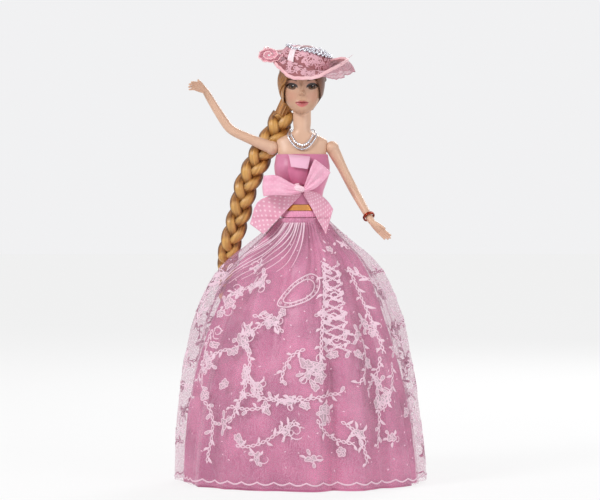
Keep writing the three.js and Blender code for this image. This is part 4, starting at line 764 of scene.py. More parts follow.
def makeHead():
    head = gridPiece("vinylHead", 128, 130, headSpot(0, *skull, True), closed=True, capped=True)
    cut(head, rod("neckRoom", (0, doll["neckShift"], 250), zAxis, doll["neckRadius"] + 0.25, 15.4, 64))
    dress(head, "head", "skin", paintedFace, "head", angle=60)


makeHead()
print("torso and head made")

# Hair: a net of combed hair over the skull, with locks that run to the gather behind the right ear
hair = {"thickness": 1.7, "fit": 0.3, "hairline": 12.6, "hairlineDrop": 30, "lowest": 0.06, "highest": 0.99,
        "gather": [(-0.35, 0.62, 0.42), (-0.72, 0.62, 0.2), (-0.98, 0.62, 0.02)], "ear": (16.47, 0, 267.9),
        "napeWay": (-0.82, 0, 0.57), "locks": 40, "lockHalfWidth": 2.3, "lockHalfDepth": 0.75,
        "lockTurns": (-150, 118), "openFace": (-48, 42), "gatherTurn": 127, "lockTopRight": 284,
        "lockTopLeft": 280, "lockLow": 258.5}
gather = [Vector((x * doll["faceHalfWidth"], doll["headShift"] + y * doll["headHalfDepth"],
                  doll["chinZ"] + z * doll["headHeight"])) for x, y, z in hair["gather"]]


def onSkull(turn, z, grow):  # turn in degrees from the front towards the doll's right
    return ovalPoint(headAt(z, grow), math.radians(-90 - turn), 0)


def makeLock(turn, top, rng):
    right = turn > 0
    goal = hair["gatherTurn"] if right else hair["gatherTurn"] - 360
    route = []
    for step in range(9):
        t = step / 8
        across = ease(t, 0.15, 1.0) if right else ease(t, -0.1, 0.92)
        z = lerp(top, hair["lockLow"] + 6 * rng.random() * (1 - t), t ** (0.85 if right else 2.0))
        route.append(onSkull(lerp(turn, goal, across), z, hair["thickness"]
                             + lerp(-0.6, 0.15, ease(t, 0, 0.3))))
    route.append(gather[1].lerp(route[-1], 0.12) + Vector((0, 0, 0.5)))
    line = Route(route)
    out = (line.at(0.5) - Vector((0, doll["headShift"], 270))).normalized()
    phase = rng.random() * tau

    def section(v):
        root = ease(v, 0, 0.2)
        return (hair["lockHalfWidth"] * (0.35 + 0.65 * root) * (1 - 0.6 * ease(v, 0.82, 1)),
                hair["lockHalfDepth"] * (0.3 + 0.7 * root) * (1 - 0.4 * ease(v, 0.82, 1)))
    return tube("lock", line, 30, 12, section, line.way(0.5).cross(out),
                lambda u, v: 0.08 * math.cos(5 * tau * u + phase))


def makeHair():
    cap = gridPiece("hairNet", 120, 80, headSpot(hair["thickness"], hair["lowest"], hair["highest"]),
                    closed=True, capped=True)
    inside = gridPiece("skull", 100, 80, headSpot(hair["fit"], *skull), closed=True, capped=True)
    middle, top = doll["chinZ"] + doll["headHeight"] * 0.3, doll["headHeight"] * 0.47
    opening = rod("faceRoom", (0, doll["headShift"] - 12, middle), yAxis, 1, 24, 64)
    for vertex in opening.data.vertices:
        x, z = vertex.co.x / mm, vertex.co.z / mm - middle
        vertex.co.x = x * hair["hairline"] * mm
        vertex.co.z = (middle + z * (top if z > 0 else hair["hairlineDrop"])) * mm
    cut(cap, inside, opening,
        block("throat", (-30, -30, 230), (30, doll["headShift"] + 2.4, doll["chinZ"] + 7.9)),
        rod("neckRoom", (0, doll["neckShift"], 243), zAxis, doll["neckRadius"] + 0.5, 30, 48))
    sliced(cap, hair["ear"], hair["napeWay"], clear_inner=True)
    pieces = [cap]
    rng = random.Random(4)
    for i in range(hair["locks"]):
        turn = lerp(*hair["lockTurns"], i / (hair["locks"] - 1))
        top = (hair["lockTopRight"] if turn > 0 else hair["lockTopLeft"]) - 3 * rng.random()
        if not hair["openFace"][0] < turn < hair["openFace"][1]:
            pieces.append(makeLock(turn, top, rng))
    knot = Route([gather[0], gather[1], gather[2] + (gather[2] - gather[1]).normalized() * 1.5])
    pieces.append(tube("gather", knot, 24, 64, lambda v: (lerp(7.2, 5.6, v), lerp(5.8, 4.5, v)), yAxis,
                       lambda u, v: 0.05 * math.cos(14 * tau * u + 3 * v) + 0.03 * math.cos(23 * tau * u)))
    dress(join(pieces, "combedHair"), "head", "hair", hairFibre, "hair_cap")


# Gown's shape: angles are in radians from the doll's left, drops are shares of the height from the waist down
gown = {"topZ": 180.8, "hemHalfWidth": 80, "hemHalfDepth": 62, "foldDepth": 2.4, "foldCount": 12,
        "waistGap": 1.6, "tulleGap": 1.7, "tulleSpread": 12, "satinWall": 0.5, "tulleWall": 0.25,
        "hemLift": 1.5, "gathers": 54, "gatherDepth": 0.75, "softDepth": 2.4, "pinchDepth": 3.0,
        "valleyDepth": 1.9, "valleys": ((4.02, 0.6), (4.12, 1.0), (4.24, 0.7), (4.36, 1.0), (4.5, 0.7)),
        "valleyWidth": 0.045, "lowFolds": ((5.0, 2.8, 0.05), (5.14, -1.6, 0.08), (4.87, -0.9, 0.07),
                                           (4.1, 1.8, 0.1), (3.94, -1.2, 0.12), (5.5, 1.6, 0.06))}
gown["lowest"] = 1 - gown["hemLift"] / gown["topZ"]  # the sheer layer's hem
bellTable = smoothTable([[0, 0], [0.05, 0.08], [0.1, 0.2], [0.15, 0.345], [0.22, 0.48], [0.32, 0.615],
                         [0.44, 0.74], [0.59, 0.86], [0.76, 0.945], [0.9, 0.985], [1, 1]])
foldTable = smoothTable([[0, 0.12], [0.08, 0.55], [0.2, 1], [0.5, 0.85], [1, 0.7]])
standTable = smoothTable([[0, 0], [0.1, 0.5], [0.22, 0.88], [0.38, 1], [0.5, 0.8], [0.67, 0.58], [0.84, 0.46],
                          [1, 0.4]])
hangTable = smoothTable([[0, 0], [0.1, 0.6], [0.2, 3.4], [0.33, 5.6], [0.5, 5.2], [0.7, 3.2], [0.85, 1.4],
                         [1, 0]])
skirtTop = torsoAt(gown["topZ"])


def sweepAt(angle, drop):  # how far the gathers at the doll's right are drawn towards its side
    return 3.4 * min(drop, 0.3) * math.exp(-(angle - 3.6) ** 2)


def clothDetail(angle, drop):  # gathers, narrow pleats, low folds and pinches, in millimetres outwards
    swept = angle + sweepAt(angle, drop)
    gathers = gown["gatherDepth"] * math.cos(gown["gathers"] * swept + 2 * math.sin(5 * angle))
    gathers *= (1 - ease(drop, 0.08, 0.55)) * ease(drop, 0, 0.04)
    valleys = sum(deep * math.exp(-((swept - at) / gown["valleyWidth"]) ** 2) for at, deep in gown["valleys"])
    valleys *= ease(drop, 0.02, 0.08) * (1 - ease(drop, 0.26, 0.5))
    low = sum(deep * math.exp(-((angle - at) / wide) ** 2) for at, deep, wide in gown["lowFolds"])
    soft = noiseRound(angle, 2.9, drop * 1.1) * ease(drop, 0.1, 0.5)
    pinch = (1 - abs(math.sin(9.5 * angle + 1.3 * math.sin(2 * angle) + 1.6 * drop))) ** 1.4 - 0.3
    pinch *= ease(drop, 0.04, 0.3) * (1 - 0.35 * ease(drop, 0.7, 1))
    return (gathers + gown["softDepth"] * soft - gown["valleyDepth"] * valleys - low * ease(drop, 0.35, 0.6)
            + gown["pinchDepth"] * pinch)


def gownPoint(angle, drop, layerGap=0.0, spread=0.0, detail=0.0):
    flare = bellTable(drop)[0]
    fold = foldTable(drop)[0] * gown["foldDepth"] * math.cos(gown["foldCount"] * angle)
    fold *= 1 + 0.3 * math.cos(4 * angle)
    if detail:
        fold += detail * clothDetail(angle, drop)
    start = gown["waistGap"] + gown["foldDepth"] * 0.2
    halfWidth = lerp(skirtTop["halfWidth"] + start, gown["hemHalfWidth"] - gown["foldDepth"], flare)
    halfDepth = lerp(skirtTop["halfDepth"] + start, gown["hemHalfDepth"] - gown["foldDepth"], flare)
    grow = fold + layerGap + standTable(drop)[0] * spread * math.cos(angle) ** 2
    x = (halfWidth + grow) * math.cos(angle) - hangTable(drop)[0] * ease(math.cos(angle), 0.1, 0.95)
    return Vector((x, (halfDepth + grow) * math.sin(angle), gown["topZ"] * (1 - drop)))


def outerGown(angle, drop):  # the sheer layer, without its small folds
    return gownPoint(angle, drop, gown["tulleGap"], gown["tulleSpread"])


def dropAt(v):  # rows are closer together at the waist
    return v ** 1.25


# Plait: three strands along a route behind the raised arm and outside the gown
plaitShape = {"halfWidth": 5.1, "halfDepth": 2.5, "strandWidth": 4.1, "strandDepth": 3.1, "pitch": 37.0,
              "thinning": 0.35, "endZ": 124.64, "reach": 52.8, "shoulderY": 4.1, "gownGap": 2.4,
              "armGap": 0.6, "tieHalfWidth": 1.9, "tuftLength": 15, "wisps": 22, "steps": 400,
              "blendShare": 0.12, "shares": [(0, 0), (0.06, 0.03), (0.113, 0.13), (0.176, 0.27), (0.238, 0.4),
                                             (0.293, 0.485), (0.355, 0.585), (0.42, 0.66), (0.5, 0.72),
                                             (0.56, 0.77), (0.65, 0.86), (0.74, 0.944), (0.87, 0.985),
                                             (1, 1)]}


def plaitRoute():
    size, start = plaitShape, gather[2]
    clear = size["halfDepth"] + size["strandDepth"] + size["armGap"]
    points = []
    for down, out in size["shares"]:
        x = start.x - out * (size["reach"] + start.x)
        z = lerp(start.z, size["endZ"], down)
        y = size["shoulderY"] + clear
        if z < gown["topZ"]:
            drop = clamp(1 - z / gown["topZ"])
            side = size["gownGap"] + size["halfWidth"] + size["strandWidth"] - outerGown(math.pi, drop).x
            back = outerGown(math.pi / 2, drop).y + size["gownGap"] + clear
            y = max(y, back * math.sqrt(1 - min(abs(x / side), 1) ** 2))
        points.append(Vector((x, lerp(start.y, y, min(down * 8, 1)), z)))
    return Route(points)


def thinned(share):
    return 1 - plaitShape["thinning"] * share ** 2


def makeStrand(route, k):
    size, points = plaitShape, []
    for i in range(161):
        share = i / 160
        tangent = route.way(share)
        wide = (xAxis - tangent * xAxis.dot(tangent)).normalized()
        deep = tangent.cross(wide)
        turn = tau * share * route.length / size["pitch"] + tau * k / 3
        points.append(route.at(share) + wide * size["halfWidth"] * thinned(share) * math.cos(turn)
                      + deep * size["halfDepth"] * thinned(share) * math.sin(2 * turn))
    return tube("strand", Route(points, samples=3), 300, 36,
                lambda v: (size["strandWidth"] * thinned(v) * 0.98, size["strandDepth"] * thinned(v)), xAxis,
                lambda u, v: 0.035 * math.cos(9 * tau * u + 40 * v)
                + 0.025 * math.cos(17 * tau * u - 60 * v + k))


def makePlait():
    size, route = plaitShape, plaitRoute()
    braid = join([makeStrand(route, k) for k in range(3)], "braidedHair")
    middles = [route.at(i / size["steps"]) for i in range(size["steps"] + 1)]
    heights = [-at.z for at in middles]
    proud = []  # 1 on the front and back of each strand, for its painted highlight
    for vertex in braid.data.vertices:
        step = min(bisect.bisect(heights, -vertex.co.z / mm), size["steps"])
        thick = (size["halfDepth"] + size["strandDepth"]) * thinned(step / size["steps"])
        proud.append(abs(vertex.co.y / mm - middles[step].y) / thick)
    braid.data.attributes.new("proud", "FLOAT", "POINT").data.foreach_set("value", proud)
    dress(braid, None, "hair", plaitFibre, "plait")
    tuple(route.at(size["blendShare"]) * mm)
    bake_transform(braid)
    end, way = route.at(1), route.way(1)
    tie = Route([end - way * size["tieHalfWidth"], end + way * size["tieHalfWidth"]])

    def wraps(v):  # three turns of elastic side by side
        bulge = size["strandWidth"] * 1.15 - 0.55 + 0.6 * abs(math.sin(3 * math.pi * v)) ** 0.6
        return (bulge * (1 if 0.01 <= v <= 0.99 else 0.9),) * 2
    band = tube("hairElastic", tie, 36, 48, wraps, xAxis, lambda u, v: 0.012 * math.cos(24 * tau * u))
    dress(band, "torso", "elastic", elasticBand, "plait_tie", angle=60)
    rng = random.Random(9)
    wisps = []
    for k in range(size["wisps"]):
        angle, out = tau * k / size["wisps"] * 2.4, 0.3 + 0.7 * ((k * 7) % size["wisps"]) / size["wisps"]
        side = (xAxis * math.cos(angle) + yAxis * math.sin(angle) * 0.8) * out
        reach = size["tuftLength"] * (0.78 + 0.22 * rng.random())
        line = Route([end + way * 1.4 + side * 2.0, end + way * (1.4 + reach * 0.45) + side * 3.9,
                      end + way * (1.4 + reach) + side * (1.2 + rng.random())])
        wisps.append(tube("wisp", line, 18, 10, lambda v: (
            1.25 * (1 - ease(v, 0.45, 1.0) * 0.85), 1.0 * (1 - ease(v, 0.45, 1.0) * 0.85)), xAxis))
    dress(join(wisps, "plaitTuft"), "torso", "hair", hairFibre, "plait_tuft")


makeHair()
makePlait()
print("hair made")


# Arms: one soft moulding each, from the shoulder's ball to the fingertips
armShape = {"upper": 31.5, "forearm": 31.5, "elbowBend": 0.28, "palm": 8.2, "palmHalfWidth": 3.1,
            "wrist": 2.3, "finger": 9.2, "fingerRadius": 0.92, "thumbRadius": 1.15, "voxel": 0.3,
            "girth": [[0, 4.37], [0.1, 4.05], [0.24, 3.4], [0.52, 3.15], [0.66, 3.0], [0.86, 2.65], [1, 2.3]],
            "palmRows": [[0, 2.1, 2.1], [0.3, 2.25, 1.95], [0.55, 2.9, 1.6], [0.8, 3.1, 1.35],
                         [1, 3.0, 1.15]],
            "fingers": ((-1, 0.8, 0.14), (-0.34, 0.98, 0.08), (0.34, 1.04, 0.05), (1, 0.92, 0.02)),
            # side, the ways of the upper arm, forearm and hand, the way across the palm, the fingers' curl
            "right": (-1, (158, -0.05), (121, -0.12), (150, -1.0), (0.35, -0.2, 0.9), (0.05, 0, -0.3)),
            "left": (1, (-63, 0.06), (-61, -0.72), (-46, -0.2), (0.5, -0.5, 0.5), (0.1, -0.1, 0))}


def inFrontView(angle, forward):  # a way by its angle in the front view
    return Vector((math.cos(math.radians(angle)), forward, math.sin(math.radians(angle)))).normalized()


def tapered(radius, share):
    return lambda v: (radius * (1 - share * v),) * 2


def handPieces(wrist, handWay, across, curl):
    size = armShape
    knuckles = wrist + handWay * size["palm"]
    pieces = []
    down = handWay.cross(across).normalized()
    for place, reachShare, bend in size["fingers"]:
        half = size["palmHalfWidth"] - size["fingerRadius"] + 0.12
        root = knuckles + across * place * half - handWay * 1.6
        spread = (handWay + across * place * 0.06 + curl).normalized()
        reach = size["finger"] * reachShare + 0.7
        middle = root + (handWay + spread).normalized() * reach * 0.5
        tip = middle + (spread + curl * 0.4 + down * bend).normalized() * reach * 0.52
        pieces.append(tube("finger", Route([root, middle, tip]), 14, 12, tapered(size["fingerRadius"], 0.28),
                           across))
        pieces.append(blob("tip", tip, size["fingerRadius"] * 0.72, 12, 8))
    root = wrist + handWay * size["palm"] * 0.28 + across * size["palmHalfWidth"] * 0.5
    tip = root + (handWay + across * 0.34).normalized() * size["finger"] * 0.85 + down * 0.5
    pieces.append(tube("thumb", Route([root, root.lerp(tip, 0.5) + across * 0.3, tip]), 14, 12, lambda v: (
        size["thumbRadius"] * (1 - 0.3 * v), 1.1 * (1 - 0.3 * v)), across))
    pieces.append(blob("tip", tip, 0.82, 12, 8))
    return pieces


def makeArm(name):
    size = armShape
    side, *ways, across, curl = size[name]
    upperWay, forearmWay, handWay = (inFrontView(*way) for way in ways)
    across = Vector(across).normalized()
    shoulder = Vector((side * doll["shoulderHalfWidth"], 0, doll["shoulderZ"]))
    elbow = shoulder + upperWay * size["upper"]
    wrist = elbow + forearmWay * size["forearm"]
    above, below = shoulder.lerp(elbow, 0.55), elbow.lerp(wrist, 0.5)
    bend = elbow.lerp(above.lerp(below, 0.5), size["elbowBend"])
    girth = smoothTable(size["girth"])
    palm = Route([wrist - forearmWay * size["wrist"], wrist, wrist + handWay * size["palm"]])
    pieces = [tube("sleeve", Route([shoulder, above, bend, below, wrist], tension=0.4), 60, 32,
                   lambda v: girth(v) * 2, yAxis),
              blob("cap", shoulder, doll["capRadius"], 40, 28),
              tube("palm", palm, 24, 28, smoothTable(size["palmRows"]), across)]
    arm = fuse(pieces + handPieces(wrist, handWay, across, Vector(curl)), "softArm" + name.title(),
               size["voxel"], 4)
    dress(arm, "arm_" + name, "skin", skinVinyl, "arm_" + name)


makeArm("right")
makeArm("left")


# Legs: a disc on the hip axle, a thigh, a knee, a calf and a pointed foot in a court shoe
legShape = {"hipOut": 9.8, "ankleOut": 8.2, "ankleZ": 27, "footReach": 17, "footHalfWidth": 3.7,
            "floorGap": 0.34, "topShare": 0.955, "discRadius": 8.4, "discWidth": 12.6, "discOut": 9.6,
            "voxel": 0.5, "rows": [[0, 0, 3.3, 3.3], [0.07, 0.02, 3.5, 3.7], [0.18, 0.08, 4.82, 5.15],
                                   [0.3, 0.16, 5.6, 6.05], [0.44, 0.3, 5.5, 5.5], [0.56, 0.42, 5.83, 5.94],
                                   [0.72, 0.62, 7.05, 7.2], [0.88, 0.85, 7.6, 7.9], [0.955, 0.95, 6.17, 8.2]]}
shoeShape = {"wall": 1.25, "room": 0.35, "openingTilt": 42, "openingShare": 0.72, "openingZ": 5.78,
             "soleHeight": 3.4, "soleHalfWidth": 2.96, "soleHalfLength": 5.1, "soleShare": 0.68,
             "heelY": 3.3, "heelRadius": 1.3, "heelTopRadius": 2.7, "heelShare": 0.62}
footTable = smoothTable([[0, 0, 1, 0.88, 0.9], [0.25, 0.06, 0.8, 0.95, 1], [0.5, 0.3, 0.47, 0.95, 0.9],
                         [0.75, 0.62, 0.17, 1, 0.62], [0.92, 0.88, 0.12, 0.72, 0.42], [1, 1, 0.11, 0.3, 0.2]])


def footPieces(side, grow):
    size = legShape
    out, half = side * size["ankleOut"], size["footHalfWidth"]
    points = []
    for i in range(9):
        forward, height = footTable(i / 8)[:2]
        points.append(Vector((out, -forward * size["footReach"], size["floorGap"] + height * size["ankleZ"])))
    return [tube("foot", Route(points), 40, 28, lambda v: [share * half + grow for share in footTable(v)[2:]],
                 xAxis), blob("toe", points[-1], half * 0.3 + grow, 20, 14),
            blob("heel", (out, 2.5, size["ankleZ"] * 0.66), half * 0.92 + grow, 28, 20)]


def makeShoe(name, side):
    size, reach = shoeShape, legShape["footReach"]
    out, ankleZ = side * legShape["ankleOut"], legShape["ankleZ"]
    shoe = fuse(footPieces(side, size["wall"]), "courtShoe" + name.title(), 0.3, 3)
    tilt = math.radians(size["openingTilt"])
    sliced(shoe, (0, -reach * size["openingShare"], size["openingZ"]), (0, -math.sin(tilt), math.cos(tilt)),
           clear_outer=True)
    soleY = -reach * size["soleShare"]
    sole = rod("sole", (out, soleY, size["soleHeight"] / 2), zAxis, 1, size["soleHeight"], 40)
    for vertex in sole.data.vertices:
        vertex.co.x = out * mm + (vertex.co.x - out * mm) * size["soleHalfWidth"]
        vertex.co.y = soleY * mm + (vertex.co.y - soleY * mm) * size["soleHalfLength"]
    heelHeight = ankleZ * size["heelShare"]
    heel = rod("heel", (out, size["heelY"], heelHeight / 2), zAxis, size["heelRadius"], heelHeight, 32,
               size["heelTopRadius"])
    cut(shoe, sole, heel, operation="UNION")
    cut(shoe, fuse(footPieces(side, size["room"]), "footRoom", 0.4, 2),
        block("ground", (-30, -40, -10), (30, 30, 0)))
    dress(shoe, "leg_" + name, "shoe_plastic", pumpPlastic, "shoe_" + name, angle=35)


def makeLeg(name, side):
    size = legShape
    table = smoothTable(size["rows"])

    def spot(u, v):
        share = v * size["topShare"]
        out, wide, deep = table(share)
        return Vector((side * lerp(size["ankleOut"], size["hipOut"], out) + wide * math.cos(tau * u),
                       deep * math.sin(tau * u), lerp(size["ankleZ"], doll["hipZ"], share)))
    pieces = [gridPiece("shin", 40, 90, spot, closed=True, capped=True),
              rod("disc", (side * size["discOut"], 0, doll["hipZ"]), xAxis, size["discRadius"],
                  size["discWidth"], 64)]
    leg = fuse(pieces + footPieces(side, 0), "softLeg" + name.title(), size["voxel"], 6)
    dress(leg, "leg_" + name, "skin", skinVinyl, "leg_" + name)
    makeShoe(name, side)


makeLeg("right", -1)
makeLeg("left", 1)
print("arms and legs made")


# Bodice, belt and waistband follow the torso
band = {"bodice": (190.225, 224.225), "armhole": 7, "belt": (186.025, 189.925), "waist": (181.125, 185.725),
        "strip": (0.1, 30.6), "stripHalfWidth": 3, "stitches": 20}


def bodiceLift(angle, v):
    wave = 0.28 * noiseRound(angle, 2.2, v * 5)
    pulled = 0.16 * math.sin(9 * v + 3 * math.cos(angle)) * ease(v, 0, 0.15) * (1 - ease(v, 0.8, 1))
    return wave + pulled + 0.22 * (1 - ease(abs(v - 0.985), 0.0, 0.03))


def backOf(z):
    row = torsoAt(z)
    return row["middleY"] + row["halfDepth"]


def bandSpot(edges, lift):  # a band round the torso, lift millimetres off it
    return lambda u, v: ovalPoint(torsoAt(lerp(*edges, v)), tau * u, lift(tau * u, v))


def makeBodice():
    low = band["bodice"][0]
    bodice = gridPiece("satinBodice", 180, 70,
                       bandSpot(band["bodice"], lambda angle, v: 0.85 + bodiceLift(angle, v)), closed=True,
                       wall=0.5)
    cut(bodice, *[blob("armhole", (side * doll["shoulderHalfWidth"], 0, doll["shoulderZ"]), band["armhole"],
                       48, 32) for side in (-1, 1)])
    dress(bodice, "torso", "satin", bodiceSatin, "bodice", angle=60)
    start, end = band["strip"]
    strip = gridPiece("hookStrip", 10, 60, lambda u, v: Vector((
        (2 * u - 1) * band["stripHalfWidth"], backOf(lerp(low, low + end, v)) + 2.0 + 0.12 * math.sin(40 * v),
        lerp(low + start, low + end, v))), wall=0.5)
    stitches = []
    for side in (-1, 1):
        for i in range(band["stitches"]):
            z = lerp(low + 1, low + 29.5, i / (band["stitches"] - 1))
            stitches.append(blob("stitch", (side * 2.4, backOf(z) + 2.3, z), (0.14, 0.12, 0.5), 8, 6))
    dress(join([strip] + stitches, "hookStrip"), "torso", "satin", hookTape, "bodice_placket", angle=60)


def makeBelt():
    belt = gridPiece("foilBelt", 160, 12, bandSpot(band["belt"], lambda angle, v: (
        1.15 + 0.1 * noiseRound(angle, 6, v * 3) + 0.18 * math.sin(math.pi * v))), closed=True, wall=0.55)
    applyModifier(belt, "BEVEL", width=0.08 * mm, segments=2, limit_method="ANGLE")
    dress(belt, "torso", "belt_foil", goldFoil, "belt", angle=50)


def makeWaistband():
    def lift(angle, v):
        pleat = 0.2 * math.cos(70 * angle + 2 * math.sin(3 * angle)) * (0.4 + 0.6 * (1 - v))
        return 0.95 + pleat + 0.22 * math.sin(math.pi * v)
    piece = gridPiece("gatheredBand", 420, 8, bandSpot(band["waist"], lift), closed=True, wall=0.4)
    return dress(piece, "torso", "satin", bandSatin, "waistband")


makeBodice()
makeBelt()
waistband = makeWaistband()


# Skirts: a satin bell with soft folds, and a sheer layer with white lace laid on it
def satinSpot(u, v):
    return gownPoint(tau * u, dropAt(v), detail=1.0)


def tulleSpot(u, v):
    return gownPoint(tau * u, dropAt(v) * gown["lowest"], gown["tulleGap"], gown["tulleSpread"], 0.8)


class Cloth:  # a sampled surface that motifs are laid on
    def __init__(self, spot, around, along):
        self.around, self.along = around, along
        self.rows = [[spot(i / around, j / along) for i in range(around + 1)] for j in range(along + 1)]

    def at(self, u, v):
        u, v = u % 1.0 * self.around, clamp(v) * self.along
        i, j = min(int(u), self.around - 1), min(int(v), self.along - 1)
        a, b = u - i, v - j
        low = self.rows[j][i].lerp(self.rows[j][i + 1], a)
        return low.lerp(self.rows[j + 1][i].lerp(self.rows[j + 1][i + 1], a), b)

    def ways(self, u, v):  # millimetres per share round the cloth and down it
        step = 0.004
        down = self.at(u, v + step) - self.at(u, v - step)
        down /= 2 * step if step < v < 1 - step else step + min(v, 1 - v, step)
        return (self.at(u + step, v) - self.at(u - step, v)) / (2 * step), down

    def outward(self, u, v):
        over, down = self.ways(u, v)
        return over.cross(down).normalized()

    def scale(self, u, v):
        return [max(way.length, 1.0) for way in self.ways(u, v)]


def turnedBy(wide, tall, turn):  # a motif's own x, y, turned, to shares of the cloth
    c, s = math.cos(turn), math.sin(turn)
    return lambda a, b: ((a * c - b * s) / wide, (a * s + b * c) / tall)


def wrapped(count):
    return [tau * i / count for i in range(count)]


class Lace:  # strokes of thread on a cloth, each a raised strip, and net inside some of them
    def __init__(self, cloth, lift, outward=1):
        self.cloth, self.lift, self.outward = cloth, lift, outward
        self.points, self.faces = [], []
        self.netPoints, self.netFaces = [], []

    def raised(self, u, v, share):
        return self.cloth.at(u, v) + self.cloth.outward(u, v) * self.outward * self.lift * share

    def patch(self, outline):  # a piece of fine net inside an outline in (u, v)
        count, first = len(outline), len(self.netPoints)
        midU, midV = sum(u for u, v in outline) / count, sum(v for u, v in outline) / count
        self.netPoints.append(self.raised(midU, midV, 0.5))
        for ring in (0.5, 1.0):
            self.netPoints += [self.raised(lerp(midU, u, ring), lerp(midV, v, ring), 0.5) for u, v in outline]
        for i in range(count):
            a, b = first + 1 + i, first + 1 + (i + 1) % count
            self.netFaces += [(first, a, b), (a, a + count, b + count, b)]

    def stroke(self, path, widths, closed=False):  # path in (u, v), widths in millimetres
        middle = [self.cloth.at(u, v) for u, v in path]
        first, count = len(self.points), len(path)
        for i, (u, v) in enumerate(path):
            out = self.cloth.outward(u, v) * self.outward
            before = middle[i - 1 if i or closed else 0]
            after = middle[(i + 1) % count if closed else min(i + 1, count - 1)]
            side = (after - before).cross(out).normalized()
            width = widths[i] if isinstance(widths, list) else widths
            base = middle[i] + out * self.lift
            self.points += [base - side * width, base + out * min(0.28, width * 0.5), base + side * width]
        for i in range(count if closed else count - 1):
            a, b = first + 3 * i, first + 3 * ((i + 1) % count)
            self.faces += [(a, a + 1, b + 1, b), (a + 1, a + 2, b + 2, b + 1)]

    def local(self, u, v, turn):  # a motif's own millimetres to shares of the cloth
        turned = turnedBy(*self.cloth.scale(u, v), turn)

        def to(a, b):
            over, down = turned(a, b)
            return u + over, v + down
        return to

    def filled(self, outline, width):
        self.stroke(outline, width, closed=True)
        self.patch(outline)

    def leaf(self, to, x, y, turn, length, width, holed=False):
        turned = turnedBy(1, 1, turn)

        def place(along, across):
            a, b = turned(along, across)
            return to(x + a, y + b)
        if holed:  # outlined, with a midrib and fine net inside
            self.filled([place(length * (0.5 - 0.5 * math.cos(t)),
                               width * math.sin(t) * (1 - 0.35 * math.cos(t))) for t in wrapped(14)], 0.32)
            self.stroke([place(length * t, 0) for t in (0, 0.3, 0.6, 0.85)], 0.2)
        else:
            spine = [i / 7 for i in range(8)]
            self.stroke([place(length * t, 0.12 * length * math.sin(math.pi * t)) for t in spine],
                        [max(0.12, width * math.sin(math.pi * min(t * 0.94 + 0.06, 1)) ** 0.8)
                         for t in spine])

    def cluster(self, u, v, turn, size, rng):  # a ragged leaf of net with veins
        to = self.local(u, v, turn)
        lobes, phase = rng.choice((5, 6, 7)), rng.random() * tau

        def at(angle, share):
            return share * size * (0.82 + 0.26 * math.sin(2 * angle + phase)
                                   + 0.1 * math.sin(3 * angle + 2 * phase))
        outline = []
        for angle in wrapped(lobes * 5):
            reach = at(angle, 0.62 + 0.38 * abs(math.cos(lobes * angle / 2)) ** 0.9)
            outline.append(to(1.15 * reach * math.cos(angle), 0.85 * reach * math.sin(angle)))
        self.filled(outline, 0.34)
        for way in wrapped(lobes):
            line = [(at(way, 0.76) * t, way + 0.35 * (1 - t)) for t in (0.12, 0.45, 0.75, 1)]
            self.stroke([to(1.15 * r * math.cos(a), 0.85 * r * math.sin(a)) for r, a in line],
                        [0.32, 0.26, 0.2, 0.15])

    def spray(self, u, v, turn, size, rng):  # a ragged leaf with pointed leaves and a curled stem at its edge
        to = self.local(u, v, turn)
        self.cluster(u, v, turn, size * 0.42, rng)
        for way in (0.0, 1.2, 2.7, 4.3):
            way += rng.uniform(-0.35, 0.35)
            self.leaf(to, size * 0.36 * math.cos(way), size * 0.28 * math.sin(way),
                      way + rng.uniform(-0.5, 0.5), size * rng.uniform(0.28, 0.62), size * 0.1,
                      holed=rng.random() < 0.6)
        curl = rng.uniform(0.16, 0.3) * rng.choice((-1, 1))
        x, y, way, line = size * 0.34, -size * 0.2, -0.9, []
        for i in range(12):
            line.append(to(x, y))
            x, y = x + size * 0.09 * math.cos(way), y + size * 0.09 * math.sin(way)
            way += curl * (1 + 0.16 * i)
        self.stroke(line, [lerp(0.42, 0.2, i / 11) for i in range(12)])

    def flower(self, u, v, turn, radius, petals=5):
        to = self.local(u, v, turn)
        outline = []
        for angle in wrapped(petals * 6):
            reach = radius * (0.66 + 0.34 * abs(math.cos(petals * angle / 2)) ** 0.7)
            outline.append(to(reach * math.cos(angle), reach * math.sin(angle)))
        self.filled(outline, 0.36)
        for way in wrapped(petals):
            self.leaf(to, radius * 0.18 * math.cos(way), radius * 0.18 * math.sin(way), way, radius * 0.62,
                      radius * 0.13)
        self.stroke([to(radius * 0.17 * math.cos(angle), radius * 0.17 * math.sin(angle))
                     for angle in wrapped(8)], radius * 0.06, closed=True)

    def scroll(self, u, v, turn, size, wound=1.3):  # a stem that rolls inwards, with small buds on its back
        to = self.local(u, v, turn)
        line = []
        for i in range(22):
            angle, reach = wound * tau * i / 21, size * (1 - 0.78 * i / 21)
            line.append((reach * math.cos(angle) - size, reach * math.sin(angle)))
        self.stroke([to(x, y) for x, y in line],
                    [lerp(0.26, 0.5, 1 - abs(2 * i / 21 - 0.7)) for i in range(22)])
        for i in (3, 6, 9, 12):
            self.leaf(to, *line[i], wound * tau * i / 21 + 0.5, size * 0.3, size * 0.1)

    def spread(self, rng, zone, count, gap, draw):  # scatters motifs at least gap millimetres apart
        placed = []
        for _ in range(count * 12):
            u, v = rng.uniform(*zone[0]), rng.uniform(*zone[1])
            at = self.cloth.at(u, v)
            if len(placed) < count and all((at - other).length > gap for other in placed):
                placed.append(at)
                draw(u, v)

